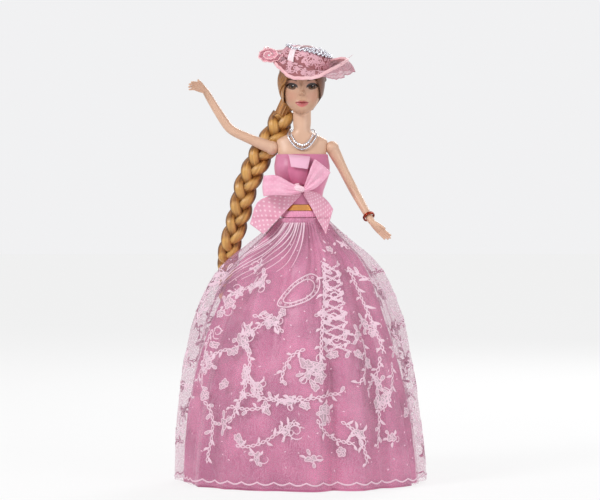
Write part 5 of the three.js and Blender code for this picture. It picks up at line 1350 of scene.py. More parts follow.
    def chain(self, path, width=0.62, swing=0.9, pitch=3.6):  # two threads that cross along a path
        line = [self.cloth.at(u, v) for u, v in path]
        reach = [0.0]
        for a, b in zip(line, line[1:]):
            reach.append(reach[-1] + (b - a).length)
        total = reach[-1]
        count = max(int(total / 0.7), 4)
        for side in (-1, 1):
            out = []
            for i in range(count + 1):
                want = total * i / count
                k = min(bisect.bisect(reach, want + 1e-9) - 1, len(path) - 2)
                t = (want - reach[k]) / max(reach[k + 1] - reach[k], 1e-6)
                (u0, v0), (u1, v1) = path[k], path[k + 1]
                u, v = lerp(u0, u1, t), lerp(v0, v1, t)
                wide, tall = self.cloth.scale(u, v)
                du, dv = (u1 - u0) * wide, (v1 - v0) * tall
                shift = side * swing * math.sin(math.pi * want / pitch) / (math.hypot(du, dv) or 1)
                out.append((u - shift * dv / wide, v + shift * du / tall))
            self.stroke(out, width * 0.62)

    def vine(self, u, v, turn, length, curl, rng, wave=0.05, leafSize=4.2, step=2.0):
        path, heading = [(u, v)], turn
        for i in range(int(length / step)):
            wide, tall = self.cloth.scale(u, v)
            u += step * math.cos(heading) / wide
            v += step * math.sin(heading) / tall
            heading += curl * math.cos(i * step * wave) * step
            if not 0.03 < v < 0.985:
                break
            path.append((u, v))
            if i % 3 == 1:
                side = 1 if (i // 3) % 2 else -1
                self.leaf(self.local(u, v, heading), 0, side * 0.9, side * (0.7 + 0.4 * rng.random()),
                          leafSize * (0.75 + 0.5 * rng.random()), leafSize * 0.22, holed=rng.random() < 0.3)
        if len(path) > 3:
            self.chain(path)

    def made(self, name, net=False):
        mesh = bpy.data.meshes.new(name)
        points, faces = (self.netPoints, self.netFaces) if net else (self.points, self.faces)
        mesh.from_pydata([p * mm for p in points], [], faces)
        piece = bpy.data.objects.new(name, mesh)
        bpy.context.collection.objects.link(piece)
        return piece


def frontSpot(x, z):  # where a place on the front view lies on the sheer skirt
    v = (clamp(1 - z / gown["topZ"]) / gown["lowest"]) ** 0.8
    return halved(lambda u: tulleSpot(u, v).x < x, 0.5, 1.0, 24), v


frontLace = {  # places on the front view in millimetres, with a turn and a size
    "sprays": [(-27, 139, 1.7, 10), (-30, 148, -1.3, 8), (-49, 124, 2.5, 12), (-44, 131, -0.6, 8),
               (-19, 112, 1.0, 10), (-41, 99, 0.6, 13), (-36, 106, -2.2, 9), (11, 82, -1.2, 11),
               (4, 78, 2.4, 9), (42, 110, 0.4, 9), (37, 103, 1.9, 8), (51, 70, 1.2, 10), (16, 54, 1.6, 11),
               (-8, 60, 2.6, 8), (62, 92, 1.0, 8), (-63, 83, 2.2, 9), (-30, 70, 0.9, 8), (28, 163, 1.4, 5),
               (-12, 40, 1.3, 9), (-52, 44, 0.4, 10), (38, 38, 1.5, 10), (-30, 22, 1.4, 9), (6, 22, 0.2, 9),
               (60, 34, 1.3, 9)],
    "flowers": [(-55, 117, 0.9, 3.2), (19, 160, 0.1, 2.6), (-13, 118, 0.5, 3.0), (47, 104, 0.6, 3.0),
                (56, 60, 0.4, 3.4), (-66, 62, 0.6, 3.4), (26, 26, 0.8, 3.4)],
    "clusters": [(-34, 134, 0.3, 3.6), (-46, 92, 0.2, 5.2), (-38, 98, 1.2, 4.6), (20, 90, 0.2, 4.4),
                 (12, 76, 0.6, 5.4), (8, 70, 1.4, 4.0), (-24, 55, 0.9, 4.4), (2, 57, 1.2, 3.8),
                 (-42, 34, 0.3, 4.4), (70, 50, 0.2, 4.2), (-52, 70, 0.4, 4.6), (38, 90, 0.2, 4.0),
                 (44, 84, 1.0, 3.4), (14, 52, 1.5, 6.2), (3, 84, 1.3, 5.6), (11, 83, 0.5, 4.6),
                 (51, 58, 1.4, 5.4), (-38, 77, 1.5, 4.2), (-60, 96, 0.7, 3.8), (-64, 88, 0.4, 4.4)],
    "scrolls": [(24, 126, 1.2, 3.6), (20, 112, 2.2, 3.6), (26, 98, 0.6, 3.8), (-56, 100, 1.2, 5),
                (0, 36, 0.8, 6)],
    # vines have a length and a curl
    "vines": [(-33, 116, 0.15, 26, 0.03), (-44, 128, -1.0, 22, 0.05), (-50, 93, 2.9, 34, -0.04),
              (-36, 92, 1.2, 46, 0.035), (-22, 62, 0.25, 52, -0.02), (0, 63, 2.75, 44, 0.03),
              (-20, 117, 2.1, 26, 0.04), (14, 150, 1.62, 66, 0.006), (31, 148, 1.52, 62, -0.006),
              (8, 116, -0.1, 16, 0.04), (50, 62, 1.5, 36, 0.02), (40, 100, 1.3, 34, 0.05),
              (-66, 58, 0.7, 44, 0.05), (10, 48, 1.2, 34, -0.05), (-44, 30, 0.2, 46, -0.04),
              (26, 46, 0.4, 34, 0.05), (-60, 106, 2.0, 40, -0.03), (60, 84, 1.7, 36, 0.02),
              (24, 172, 1.2, 20, 0.05), (-38, 84, 1.5, 26, -0.05), (-21, 57, 2.75, 28, 0.03),
              (52, 88, 1.75, 30, 0.04), (2, 94, 2.9, 30, -0.06)],
    "loop": [(-16.5, 123), (-10, 133), (-2, 140), (6, 143.5), (11.5, 140), (11, 133), (5, 127), (-3, 123.5),
             (-11, 121.5)],
    "loopMiddle": (-2, 131.5), "eyelets": 18, "eyeletRadius": 0.8,
    "columnZ": (164, 92), "columnLeaves": 13, "crossedZ": (150, 92), "crossings": 9,
    "pleats": 11, "pleatTurns": (4.02, 4.8), "pleatEnds": (0.42, 0.26),
}


def layLoop(lace):  # one closed scroll with a row of eyelets inside
    midX, midZ = frontLace["loopMiddle"]
    for grow in (1.0, 0.72):
        ring = Route([Vector((lerp(midX, x, grow), 0, lerp(midZ, z, grow))) for x, z in frontLace["loop"]],
                     closed=True, samples=8)
        lace.stroke([frontSpot(ring.at(i / 60).x, ring.at(i / 60).z) for i in range(60)], 0.42, closed=True)
        for k in range(frontLace["eyelets"] if grow == 1.0 else 0):
            at = ring.at(k / frontLace["eyelets"]).lerp(Vector((midX, 0, midZ)), 0.14)
            to, radius = lace.local(*frontSpot(at.x, at.z), 0), frontLace["eyeletRadius"]
            lace.stroke([to(radius * math.cos(angle), radius * math.sin(angle)) for angle in wrapped(7)],
                        0.22, closed=True)


def layColumn(lace, rng):  # the upright insertion: small leaves between two edge threads
    for k in range(frontLace["columnLeaves"]):
        down = k / (frontLace["columnLeaves"] - 1)
        for side in (-1, 1):
            to = lace.local(*frontSpot(lerp(19, 24, down) + side * lerp(3.2, 7.2, down),
                                       lerp(*frontLace["columnZ"], down)), 0)
            lace.leaf(to, 0, 0, math.pi / 2 * side + side * 0.6, lerp(2.5, 4.6, down), lerp(0.5, 1.0, down),
                      holed=k % 2 == 0)

    def edge(down, left):
        return lerp(25.3, 32.9, down) if left else lerp(13.7, 15.6, down)
    for k in range(frontLace["crossings"]):  # crossed threads between its edges, and a small flower at each
        down, below = k / frontLace["crossings"], (k + 1) / frontLace["crossings"]
        for flip in (0, 1):
            first, last = edge(down, (k + flip) % 2), edge(below, (k + flip + 1) % 2)
            lace.chain([frontSpot(lerp(first, last, s / 6),
                                  lerp(*frontLace["crossedZ"], lerp(down, below, s / 6))) for s in range(7)],
                       0.5, 0.55, 2.6)
        lace.cluster(*frontSpot(edge(down, k % 2) + (-1.5 if k % 2 else 1.5),
                                lerp(*frontLace["crossedZ"], down)), rng.random() * 3, lerp(1.8, 2.6, down),
                     rng)


def layPleats(lace):  # thread edges of the narrow pleats, swept from the waist to the doll's right
    for k in range(frontLace["pleats"]):
        share, path = k / (frontLace["pleats"] - 1), []
        line, end = lerp(*frontLace["pleatTurns"], share), lerp(*frontLace["pleatEnds"], share)
        for j in range(17):
            v = lerp(0.04, end, j / 16)
            drop = dropAt(v) * gown["lowest"]
            path.append((halved(lambda angle: angle + sweepAt(angle, drop) < line, 3.0, 5.2, 20) / tau, v))
        lace.stroke(path, [lerp(0.55, 0.2, j / 16) for j in range(17)])


def layBehind(lace, rng):  # scattered motifs, none of them in front, and seeds all round
    def motif(u, v):
        if 0.54 < u % 1 < 0.96:
            return
        kind, turn = rng.random(), rng.random() * tau
        if kind < 0.4:
            lace.spray(u, v, turn, rng.uniform(8, 12), rng)
        elif kind < 0.65:
            lace.flower(u, v, turn, rng.uniform(3.2, 4.6))
        elif kind < 0.8:
            lace.scroll(u, v, turn, rng.uniform(4, 6))
        curl = rng.uniform(0.02, 0.06) * rng.choice((-1, 1))
        lace.vine(u, v, turn + 2, rng.uniform(24, 44), curl, rng)

    def seed(u, v):
        lace.leaf(lace.local(u, v, rng.random() * tau), 0, 0, 0, 1.6, 0.4)
    lace.spread(rng, ((0, 1), (0.28, 0.93)), 120, 15, motif)
    lace.spread(rng, ((0, 1), (0.08, 0.95)), 420, 6.5, seed)


def hemSpot(u, v):
    return satinSpot(u, 1) + onCircle(tau * u, 0.42 * math.cos(tau * v), 0.35 + 0.34 * math.sin(tau * v))


def makeSkirts():
    satin = gridPiece("satinSkirt", 432, 110, satinSpot, closed=True, wall=gown["satinWall"])
    dress(satin, "torso", "satin", satinCloth, "skirt_satin")
    hem = gridPiece("satinHem", 432, 12, hemSpot, closed=True)
    dress(hem, "torso", "satin", satinCloth)
    tulle = gridPiece("sheerSkirt", 432, 90, tulleSpot, closed=True, wall=gown["tulleWall"], uv=(460, 200))
    dress(tulle, "torso", "tulle", sheerNet, "skirt_tulle")
    lace = Lace(Cloth(tulleSpot, 540, 120), 0.3)
    lace.outward = 1 if lace.cloth.outward(0.75, 0.5).y < 0 else -1
    rng = random.Random(11)
    for x, z, turn, radius in frontLace["flowers"]:
        lace.flower(*frontSpot(x, z), turn, radius)
    for draw, kind in ((lace.cluster, "clusters"), (lace.spray, "sprays")):
        for x, z, turn, size in frontLace[kind]:
            draw(*frontSpot(x, z), turn, size, rng)
    for x, z, turn, size in frontLace["scrolls"]:
        lace.scroll(*frontSpot(x, z), turn, size)
    for x, z, turn, length, curl in frontLace["vines"]:
        lace.vine(*frontSpot(x, z), turn, length, curl, rng)
    layLoop(lace)
    layColumn(lace, rng)
    layPleats(lace)
    layBehind(lace, rng)
    lace.stroke([(i / 360, 0.98 + 0.008 * abs(math.sin(math.pi * 45 * i / 360))) for i in range(360)],
                0.5, closed=True)
    threads = dress(lace.made("laceVines"), "torso", "tulle", whiteLace)
    ground = dress(lace.made("laceGround", net=True), "torso", "tulle", laceNet)


makeSkirts()
print("gown made")


# Bow: a folded top loop, two side loops, two tails and a knot, all of dotted satin ribbon
bowShape = {
    "size": 50, "knotZ": 199.915, "knotX": -0.54, "knotOut": 4.4, "wall": 0.35,
    "foldTopZ": 223.925, "foldRise": 3.4, "foldBack": 8.5, "foldHalfWidth": 9.6,
    # rows of a share, then x and z of the lower and of the upper edge, as shares of the size from the knot
    "ribbonLoopRight": [[0, -0.03, -0.04, -0.03, 0.045], [0.3, -0.16, -0.068, -0.14, 0.09],
                        [0.65, -0.36, -0.07, -0.34, 0.195], [1, -0.52, -0.085, -0.515, 0.195]],
    "ribbonLoopLeft": [[0, 0.03, -0.03, 0.03, 0.05], [0.35, 0.17, 0.02, 0.085, 0.21],
                       [0.7, 0.29, 0.12, 0.125, 0.325], [1, 0.385, 0.235, 0.165, 0.415]],
    "ribbonTailRight": [[0, -0.01, -0.06, -0.03, 0.02], [0.3, -0.14, -0.2, -0.3, -0.035],
                        [0.65, -0.33, -0.4, -0.6, -0.16], [1, -0.52, -0.6, -0.71, -0.46]],
    "ribbonTailLeft": [[0, 0.02, -0.06, 0.04, 0], [0.35, 0.12, -0.23, 0.2, -0.035],
                       [0.7, 0.23, -0.43, 0.34, -0.14], [1, 0.325, -0.595, 0.425, -0.26]],
}
loopTurn = smoothTable([  # how far out and how deep a loop's ribbon is along its length
    [0, 0, 0.3], [0.22, 0.5, 0.05], [0.44, 0.96, 0.12], [0.5, 1, 0.5], [0.56, 0.96, 0.88], [0.78, 0.5, 1],
    [1, 0, 0.75]])


def clothFront(x, z, lift):
    if z > gown["topZ"]:
        return frontOf(torsoAt(z), x, 1.8 + lift)
    drop = 1 - z / gown["topZ"]
    folds = gown["foldDepth"] * (1 - foldTable(drop)[0])
    row = {"halfWidth": -outerGown(math.pi, drop).x, "halfDepth": -outerGown(-math.pi / 2, drop).y,
           "middleY": 0}
    return frontOf(row, x, 1.4 + folds * 0.5 + lift)


def ribbonPlace(name):  # a share along the ribbon and one across it, to x and z
    table, size = smoothTable(bowShape[name]), bowShape["size"]

    def place(share, across):
        lowX, lowZ, highX, highZ = table(clamp(share))
        return lerp(lowX, highX, across) * size, bowShape["knotZ"] + lerp(lowZ, highZ, across) * size
    return place


def makeLoop(name, node, stand, knotY):
    place = ribbonPlace(name)

    def spot(u, v):
        share, deep = loopTurn(u)
        x, z = place(share, v)
        x += math.copysign(0.9, x) * math.sin(math.pi * v) ** 0.8 * ease(share, 0.7, 1)
        back = clothFront(x, z, stand + 0.8)
        pleats = 0.75 * math.sin(3 * tau * v + 0.6 + 0.8 * share) * (1 - share * 0.7)
        pleats *= 1 - abs(2 * deep - 1) * 0.2
        edge = 0.7 * math.sin(math.pi * v) * math.sin(math.pi * min(share, 0.9))
        return Vector((x, lerp(back, min(back, knotY) - 4, deep) + pleats * (deep - 0.3) - edge * deep, z))
    piece = gridPiece(name, 90, 28, spot, wall=bowShape["wall"], uv=(58, 13))
    dress(piece, "torso", "ribbon", glossyRibbon, node)


def makeTail(name, node):
    place = ribbonPlace(name)

    def spot(u, v):
        x, z = place(u, v)
        wave = 0.42 * math.sin(tau * (1.1 * v + 0.4 * u)) * ease(u, 0.1, 0.5)
        wave += 0.35 * math.sin(3 * tau * v) * (1 - ease(u, 0, 0.4))
        return Vector((x, clothFront(x, z, 0.64) - 0.35 - abs(wave) * 0.8, z))
    piece = gridPiece(name, 60, 24, spot, wall=bowShape["wall"], uv=(36, 12))
    dress(piece, "torso", "ribbon", dottedRibbon, node)


def makeFold():
    low, high = bowShape["knotZ"] + bowShape["foldRise"], bowShape["foldTopZ"]
    rows = smoothTable([[0, 0, 0.0, -0.72, 0.3], [0.25, 0.35, 0.05, -0.98, 0.44], [0.55, 0.88, 0.05, -1, 0.5],
                        [0.68, 1, 0.45, -1, 0.55], [0.8, 0.92, 1, -0.92, 0.55],
                        [1, 1 - bowShape["foldBack"] / (high - low), 0.85, -0.78, 0.42]])

    def spot(u, v):
        rise, stand, left, right = rows(u)
        z = lerp(low, high, rise)
        x = lerp(left, right, v) * bowShape["foldHalfWidth"]
        pleat = 0.16 * math.sin(2.2 * tau * v + 0.8) * (1 - ease(u, 0.1, 0.6))
        slant = 1.6 * ease(u, 0.5, 0.7) * (v - 0.1)
        return Vector((x, frontOf(torsoAt(z), x, 2.3 + stand * 3.4) - pleat, z - slant))
    fold = gridPiece("ribbonFold", 70, 26, spot, wall=bowShape["wall"], uv=(34, 13))
    dress(fold, "torso", "ribbon", cuffRibbonLitAndShaded, "bow_cuff")


def makeKnot(knot):
    def spot(u, v):
        angle, rise = tau * u, math.sin(math.pi * (v - 0.5))
        flat = (1 - abs(rise) ** 2.4) ** 0.42 if abs(rise) < 1 else 0
        crease = 1 + 0.06 * math.cos(4 * tau * v + 1.5 * math.cos(angle)) * (1 - rise * rise)
        return knot + Vector((-1.4 + 4.6 * math.cos(angle) * flat,
                              -1.3 + 3.7 * math.sin(angle) * flat * crease,
                              1.2 + 2.5 * rise * (1 - 0.12 * math.cos(angle)) - 0.7 * math.cos(angle)))
    piece = gridPiece("ribbonKnot", 64, 40, spot, closed=True, capped=True, uv=(20, 7))
    dress(piece, "torso", "ribbon", knotRibbonHighlight, "bow_knot")


def makeBow():
    row = torsoAt(bowShape["knotZ"])
    knot = Vector((bowShape["knotX"], row["middleY"] - row["halfDepth"] - bowShape["knotOut"],
                   bowShape["knotZ"]))
    makeLoop("ribbonLoopRight", "bow_loop_right", 1.6, knot.y)
    makeLoop("ribbonLoopLeft", "bow_loop_left", 1.28, knot.y)
    makeTail("ribbonTailRight", "bow_tail_right")
    makeTail("ribbonTailLeft", "bow_tail_left")
    makeFold()
    makeKnot(knot)


makeBow()
print("bow made")


# Hat: a small crown and a frilled brim, tilted over the right eye
hat = {"middle": (1.6, 1.0, 286.2), "turnX": 8, "turnY": 20, "crownRadius": 16.8, "crownHeight": 12.8,
       "brimReach": 15, "brimRadius": 17.1, "rosette": (-22.2, -13.6, 291.7), "rosetteSize": (8.1, 5.8),
       "beadRing": 15.36, "beadZ": 11.0, "beadRadius": 0.95, "beadCount": 60, "looseBeads": 46, "tinsel": 130,
       "ribbonAngle": -math.pi / 2 - 0.74, "ribbonWidth": 4.5, "ribbonOut": 1.1}
hatPlace = Matrix.Translation(Vector(hat["middle"]))
hatPlace = hatPlace @ Matrix.Rotation(math.radians(hat["turnX"]), 4, "X")
hatPlace = hatPlace @ Matrix.Rotation(math.radians(hat["turnY"]), 4, "Y")
crownCurve = Route([Vector((r * hat["crownRadius"], h * hat["crownHeight"], 0)) for r, h in (
    (1, -0.08), (1, 0.1), (0.99, 0.3), (0.955, 0.55), (0.9, 0.72), (0.8, 0.84), (0.62, 0.92), (0.35, 0.98),
    (0, 1))], tension=0.5)
crownRows = [crownCurve.at(i / 60) for i in range(61)]
brimKnots = [  # how far the brim reaches and how far it rises, at equal steps round the crown
    (0.85, 1.2), (0.92, 1.15), (0.92, 0.8), (1, 0.3), (1, -0.05), (1.05, 0.1), (0.95, -0.05), (0.9, 0.0),
    (0.76, -0.1), (0.56, -0.08), (0.46, -0.42), (0.6, -0.5), (0.62, -0.45), (0.62, -0.17), (0.68, 0.35),
    (0.8, 1)]


def sinkAt(angle, r):  # the crown is pressed lower at the doll's right
    return 1 - 0.24 * ease(-math.cos(angle), -0.2, 0.9) * min(1, r / 12)


def crownSpot(u, v, grow=0.0):
    angle, i = tau * u, min(int(v * 60), 59)
    r, h = (lerp(crownRows[i][k], crownRows[i + 1][k], v * 60 - i) for k in (0, 1))
    r = max(r + grow * (1 - v) + 0.22 * noiseRound(angle, 3, v * 4) * min(1, r / 6), 0)
    return hatPlace @ onCircle(angle, r, h * sinkAt(angle, r) + grow * v)


def brimAt(place):
    i = int(place)
    start, leave, end, arrive = curveShares(place - i)
    p0, p1, p2, p3 = (Vector(brimKnots[(i + k) % len(brimKnots)]) for k in (-1, 0, 1, 2))
    return p1 * start + (p2 - p0) * 0.5 * leave + p2 * end + (p3 - p1) * 0.5 * arrive


def brimSpot(u, v):
    reach, rise = brimAt(u % 1 * len(brimKnots))
    angle, size = tau * u, hat["brimReach"]
    gathers = (0.5 * math.cos(9 * angle + 1) + 0.16 * math.cos(31 * angle)) * v ** 1.6
    dent = 1.5 * v * math.exp(-((angle - 4.62) / 0.4) ** 2)
    return hatPlace @ onCircle(angle, hat["brimRadius"] + v * reach * size,
                               rise * size * v ** 1.3 + gathers - dent)


def trimAt(u):  # where the trim runs: on the brim's edge, and inside it where a sheer frill goes on beyond
    return 1 - 0.24 * ease(math.cos(tau * u - 0.3), 0.0, 0.8)


def flounceSpot(u, v):  # hangs from the trim at the doll's left, gathered and sheer
    start, full = brimSpot(u, trimAt(u)), ease(1 - trimAt(u), 0, 0.2)
    out = (brimSpot(u, 1) - start) * Vector((1, 1, 0))
    wave = (0.8 * math.cos(22 * tau * u) + 0.5 * math.cos(37 * tau * u + 1)) * v * full
    hang = out * (0.1 + 0.72 * math.sin(0.5 * math.pi * v)) - zAxis * 7.5 * v ** 1.2
    return start + hang * full * v ** 0.3 + out * wave * 0.25 - zAxis * (0.6 + 0.3 * wave)


def rosetteSpot(u, v):  # a strip rolled into a rosette, each turn tucked behind the one inside it
    turn, (wide, tall) = 1.8 * tau * u + 1.3, hat["rosetteSize"]
    reach = 0.66 * u + 0.34 * v + 0.09 * math.sin(2 * turn + 1) * u + 0.05 * math.cos(9 * turn) * v * u
    back = lerp(-2.2, 1.0, u) - 1.5 * v + 0.6 * math.cos(9 * turn + 1) * v * u
    return Vector(hat["rosette"]) + Vector((wide * reach * math.cos(turn), back,
                                            tall * reach * math.sin(turn)))


def hatRibbonSpot(u, v):
    angle = hat["ribbonAngle"] + (u - 0.5) * hat["ribbonWidth"] / hat["crownRadius"] + 0.3 * (0.5 - v)
    out = hat["ribbonOut"] + 0.12 * math.sin(3 * tau * u) + 0.12 * math.sin(9 * v)
    return crownSpot(angle / tau, 0.74 * v, out)


def strewn(rng, count, start, shift, low, span, turn, sizes=None):  # places round the hat, a turn and a size
    for k in range(count):
        u = start + k / count + (shift * rng.random() if shift else 0)
        yield u, low + span * rng.random(), rng.random() * turn, rng.uniform(*sizes) if sizes else 11


def laceOver(name, cloth, lift, outward, seed, clusters, vines, leaves):
    lace, rng = Lace(cloth, lift, outward), random.Random(seed)
    for u, v, turn, radius in clusters:
        lace.cluster(u, v, turn, radius, rng)
    for u, v, turn, length in vines:
        lace.vine(u, v, turn, length, 0.16, rng, wave=0.15, leafSize=2.2, step=1.2)
    for u, v, turn, length in leaves:
        lace.leaf(lace.local(u, v, turn), 0, 0, 0, length, length * 0.22, holed=True)
    ground = dress(lace.made(name + "Ground", net=True), "head", "hat_lace", roseNet)
    return [dress(lace.made(name), "head", "hat_lace", pinkLace), ground]


def edging(name, spots, closed, steps, sides, section, widthWay):
    route = Route(spots, closed=closed, samples=2)
    return dress(tube(name, route, steps, sides, section, widthWay), "head", "satin", trimSatin)


def onBeadRing(angle, radius, up):
    return hatPlace @ onCircle(angle, radius, hat["beadZ"] * sinkAt(angle, 15) + up)


def makeBeads(rng):
    beads, count, middle = [], hat["beadCount"], hat["beadRing"]
    for k, angle in enumerate(wrapped(count)):  # two uneven rows, fullest at the front left of the doll
        full = 1 + 0.45 * ease(math.cos(angle + 1.0), 0.2, 0.9)
        out, up = (0.35, -0.4) if k % 2 else (-0.3, 0.5)
        radius = hat["beadRadius"] * rng.uniform(0.62, 0.85) * full
        beads.append(blob("bead", onBeadRing(angle, middle + out, up), (radius, radius, radius * 1.1), 8, 6))
    ring = Route([onBeadRing(angle, middle, 0) for angle in wrapped(48)], closed=True, samples=4)
    beads.append(tube("wire", ring, 160, 8, (0.4, 0.4), zAxis))
    for _ in range(hat["looseBeads"]):  # over the crown's top
        angle, out = rng.uniform(-1.9, 0.9), rng.uniform(8, 14.5)
        radius = rng.uniform(0.5, 0.95)
        height = next(row.y for row in crownRows if row.x <= out) * sinkAt(angle, out)
        beads.append(blob("bead", hatPlace @ onCircle(angle, out, height + radius * 0.8), radius, 8, 6))
    for _ in range(hat["tinsel"]):
        angle, out = rng.uniform(-2.0, 0.7), rng.uniform(0.62, 1)
        base = onBeadRing(angle, middle * out, 2.0 * (1 - out))
        way = Vector((rng.uniform(-1, 1), rng.uniform(-1, 0.2), rng.uniform(-0.5, 1))).normalized()
        hair = Route([base, base + way * rng.uniform(1.3, 2.4)])
        beads.append(tube("tinsel", hair, 3, 5, (0.22, 0.1), way.orthogonal()))
    dress(join(beads, "hatBeads"), "head", "silver", silverMetal, "hat_beads", angle=60)


def makeHat():
    crown = gridPiece("hatCrown", 180, 60, crownSpot, closed=True, wall=0.6)
    dress(crown, "head", "hat_lace", hatSatin, "hat_crown")
    lining = gridPiece("hatLining", 90, 12, lambda u, v: crownSpot(u, v * 0.35, -0.9), closed=True, wall=0.3)
    onCrown = [dress(lining, "head", "satin", hatSatin)]
    brim = gridPiece("hatFrill", 400, 34, lambda u, v: brimSpot(u, v * trimAt(u)), closed=True, wall=0.35)
    dress(brim, "head", "hat_lace", hatSatin, "hat_brim")
    trim = edging("hatTrim", [brimSpot(i / 300, trimAt(i / 300)) for i in range(300)], True, 700, 12,
                  (1.2, 0.75), zAxis + yAxis * 0.01)
    flounce = gridPiece("hatFlounce", 400, 14, flounceSpot, closed=True, wall=0.15)
    onBrim = [dress(flounce, "head", "hat_lace", roseNet)]
    rows = Lace(Cloth(flounceSpot, 400, 10), 0.15)
    for line in (0.96, 0.7, 0.4):
        rows.stroke([(i / 400, line + 0.035 * math.sin(tau * 60 * i / 400)) for i in range(400)],
                    0.32, closed=True)
    onBrim.append(dress(rows.made("flounceThread"), "head", "hat_lace", pinkLace))
    rosette = gridPiece("hatPuff", 260, 10, rosetteSpot, wall=0.3)
    onBrim.append(dress(rosette, "head", "hat_lace", roseSatin))
    onBrim.append(edging("puffTrim", [rosetteSpot(i / 150, 1) for i in range(151)], False, 300, 10,
                         (0.5, 0.45), yAxis))
    rng = random.Random(3)
    onCrown += laceOver("crownLace", Cloth(crownSpot, 180, 60), 0.35, 1, 5,
                        strewn(rng, 10, 0.53, 0, 0.15, 0.35, 3, (1.1, 1.6)),
                        strewn(rng, 40, 0, 0.02, 0.1, 0.5, tau),
                        strewn(rng, 40, 0, 0.01, 0.1, 0.5, tau, (2.6, 4.2)))
    cloth = Cloth(brimSpot, 300, 34)
    brimLace = laceOver("brimLace", cloth, 0.32, 1 if cloth.outward(0.25, 0.5).z > 0 else -1, 6,
                        strewn(rng, 24, 0, 0.02, 0.3, 0.3, 3, (1.5, 2.2)),
                        strewn(rng, 34, 0, 0.02, 0.2, 0.5, tau),
                        strewn(rng, 60, 0, 0.01, 0.12, 0.6, tau, (1.8, 3.0)))
    makeBeads(rng)
    ribbon = gridPiece("hatRibbon", 24, 50, hatRibbonSpot, wall=0.35, uv=(4, 12))
    onCrown.append(dress(ribbon, "head", "ribbon", paleRibbon, "hat_ribbon"))


makeHat()
print("hat made")


# Jewellery
jewels = {"topZ": 240.02, "reach": 10, "drop": 12.5, "lift": 1.2, "wire": (0.63, 0.45), "inner": 0.74,
          "innerWire": (0.28, 0.28), "stone": 0.62, "stones": 17, "bars": 5, "grains": 48, "links": 84,
          "chain": [(-8.02, 1.2), (-5.47, 7.28), (0, 9.1), (5.47, 7.28), (8.02, 1.2)],
          "bangleMiddle": (45.285, -13.574, 182.003), "bangleAxis": (0.39344, -0.58430, -0.70978)}
drapeTable = smoothTable([  # how far out and how far down the necklace is along its half
    [0, 0, 1], [0.2, 0.3, 0.93], [0.4, 0.57, 0.76], [0.6, 0.8, 0.52], [0.8, 0.97, 0.24], [1, 0.88, 0]])


def onChest(x, z, lift):
    row = torsoAt(z - lift)
    share = min(abs(x) / (row["halfWidth"] + lift), 1)
    power = row["roundness"]
    return Vector((x, row["middleY"] - (row["halfDepth"] + lift) * (1 - share ** (2 / power)) ** (power / 2),
                   z))


def drape(place, size):
    reach, drop = drapeTable(abs(place))
    return onChest(math.copysign(1, place) * reach * jewels["reach"] * size,
                   jewels["topZ"] - drop * jewels["drop"] * size, jewels["lift"])


def makeNecklace():
    lines = [Route([drape(lerp(-end, end, i / 24), size) for i in range(25)])
             for end, size in ((1, 1), (0.85, jewels["inner"]))]
    outer, inner = lines
    pieces = [tube("outerWire", outer, 120, 14, jewels["wire"], zAxis + xAxis * 0.01),
              tube("innerWire", inner, 90, 10, jewels["innerWire"], zAxis + xAxis * 0.01)]
    for k in range(jewels["stones"]):  # faceted stones along the inner line, larger towards the middle
        share = (k + 0.5) / jewels["stones"]
        start, end = (line.at(share) for line in (inner, outer))
        way = (end - start).normalized()
        stone = jewels["stone"] * (0.8 + 0.5 * (1 - abs(2 * share - 1)))
        pieces.append(blob("stone", start.lerp(end, 0.12) - yAxis * 0.15, (stone, stone * 0.7, stone * 1.1),
                           6, 4, (0, math.atan2(way.x, way.z), 0)))
    for k in range(jewels["bars"]):  # short bars that hold the inner line
        share = (k + 0.5) / jewels["bars"]
        pieces.append(tube("bar", Route([inner.at(share), outer.at(share)]), 4, 8, (0.24, 0.24), yAxis))
    for k in range(jewels["grains"]):
        grain = outer.at((k + 0.5) / jewels["grains"]) - yAxis * 0.4
        pieces.append(blob("grain", grain, (0.3, 0.24, 0.3), 8, 6))
    neck = [Vector((x, y, jewels["topZ"] + jewels["lift"])) for x, y in jewels["chain"]]
    chain = Route([drape(-1, 1)] + neck + [drape(1, 1)])
    for k in range(jewels["links"]):
        share = (k + 0.5) / jewels["links"]
        turn = yAxis.rotation_difference(chain.way(share))
        if k % 2:
            turn = turn @ Euler((0, math.pi / 2, 0)).to_quaternion()
        pieces.append(hoop("link", chain.at(share), turn, 0.32, 0.11, 14, 6, (1, 1.35, 1)))
    dress(join(pieces, "necklaceSilver"), "torso", "silver", silverMetal, "necklace", angle=40)


def makeBangles():
    axis = Vector(jewels["bangleAxis"]).normalized()
    turn = zAxis.rotation_difference(axis)
    rings = [hoop("ring", Vector(jewels["bangleMiddle"]) + axis * shift, turn, 3.636, 0.58, 96, 20)
             for shift in (-0.48, 0.48)]
    dress(join(rings, "copperBangles"), "bangle", "copper", copperMetal, "bangle", angle=60)


makeNecklace()
makeBangles()
print("jewellery made")


# Floor, lamps and camera
stand = {"floor": 7, "floorZ": -0.0002, "distance": 1.7, "viewWidth": 0.411,
         "viewMiddle": (-0.0014, 0, 0.1589), "rise": 1.2,
         "lamps": {"key": ((-0.95, -0.85, 1.0), (0, 0, 0.16), 0.5, 11),  # place, aim, size and power
                   "fill": ((0.95, -0.9, 0.45), (0, 0, 0.15), 0.9, 5),
                   "back": ((0.5, 1.0, 0.9), (0, 0, 0.16), 0.6, 8)}}


def seenDirectly(tree):  # 1 for camera, glossy and transmission rays
    rays = tree.nodes.new("ShaderNodeLightPath")
    most = rays.outputs["Is Camera Ray"]
    for name in ("Is Glossy Ray", "Is Transmission Ray"):
        larger = tree.nodes.new("ShaderNodeMath")
        larger.operation = "MAXIMUM"
        tree.links.new(most, larger.inputs[0])
        tree.links.new(rays.outputs[name], larger.inputs[1])
        most = larger.outputs[0]
    return most


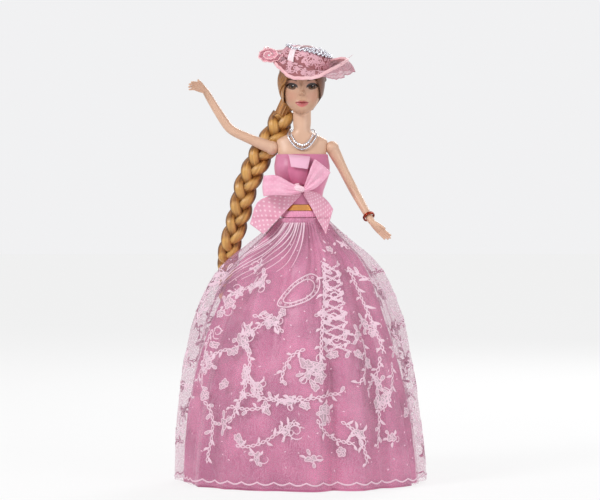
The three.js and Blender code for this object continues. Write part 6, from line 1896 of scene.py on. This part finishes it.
def shownAs(tree, factor, usual, seen, end):  # mixes in what is seen directly
    mixer = tree.nodes.new("ShaderNodeMixShader")
    for socket, value in zip(mixer.inputs, (factor, usual.outputs[0], seen.outputs[0])):
        tree.links.new(value, socket)
    tree.links.new(mixer.outputs[0], tree.nodes[end].inputs[0])


def makeFloor():
    floor = gridPiece("paleFloor", 96, 8, lambda u, v: (
        onCircle(tau * u, stand["floor"] * v, stand["floorZ"]) / mm), closed=True)
    paper = Finish("palePaper", Roughness=0.9)
    grain = paper.noise(paper.coords(1), 40, 2)
    paper.set(Base_Color=paper.mix(grain, (0.86, 0.86, 0.87), (0.9, 0.9, 0.9)))
    glow = paper.tree.nodes.new("ShaderNodeEmission")
    shownAs(paper.tree, (Wire(paper, seenDirectly(paper.tree)) * 0.78).socket, paper.shader, glow,
            "Material Output")
    floor.data.materials.append(paper.material)


def makeWorld():
    world = bpy.data.worlds.new("plainLight")
    bpy.context.scene.world = world
    world.use_nodes = True
    tree = world.node_tree
    grey, pale = tree.nodes["Background"], tree.nodes.new("ShaderNodeBackground")
    grey.inputs[0].default_value = (0.42, 0.42, 0.42, 1)
    pale.inputs[0].default_value = (0.88, 0.88, 0.89, 1)
    shownAs(tree, seenDirectly(tree), grey, pale, "World Output")


def placed(name, data, place, aim):
    made = bpy.data.objects.new(name, data)
    bpy.context.collection.objects.link(made)
    made.location = place
    made.rotation_euler = (Vector(aim) - Vector(place)).to_track_quat("-Z", "Y").to_euler()
    return made


def makeLamps():
    for name, (place, aim, size, power) in stand["lamps"].items():
        data = bpy.data.lights.new(name, "AREA")
        data.shape, data.size, data.energy = "DISK", size, power
        placed(name, data, place, aim)


def makeCamera():
    data = bpy.data.cameras.new("camera")
    data.sensor_width = 36
    data.lens = data.sensor_width * stand["distance"] / stand["viewWidth"]
    middle, rise = Vector(stand["viewMiddle"]), math.radians(stand["rise"])
    place = middle + Vector((0, -math.cos(rise), math.sin(rise))) * stand["distance"]
    bpy.context.scene.camera = placed("camera", data, place, middle)


makeFloor()
makeWorld()
makeLamps()
makeCamera()
bpy.context.scene.view_settings.view_transform = "Standard"
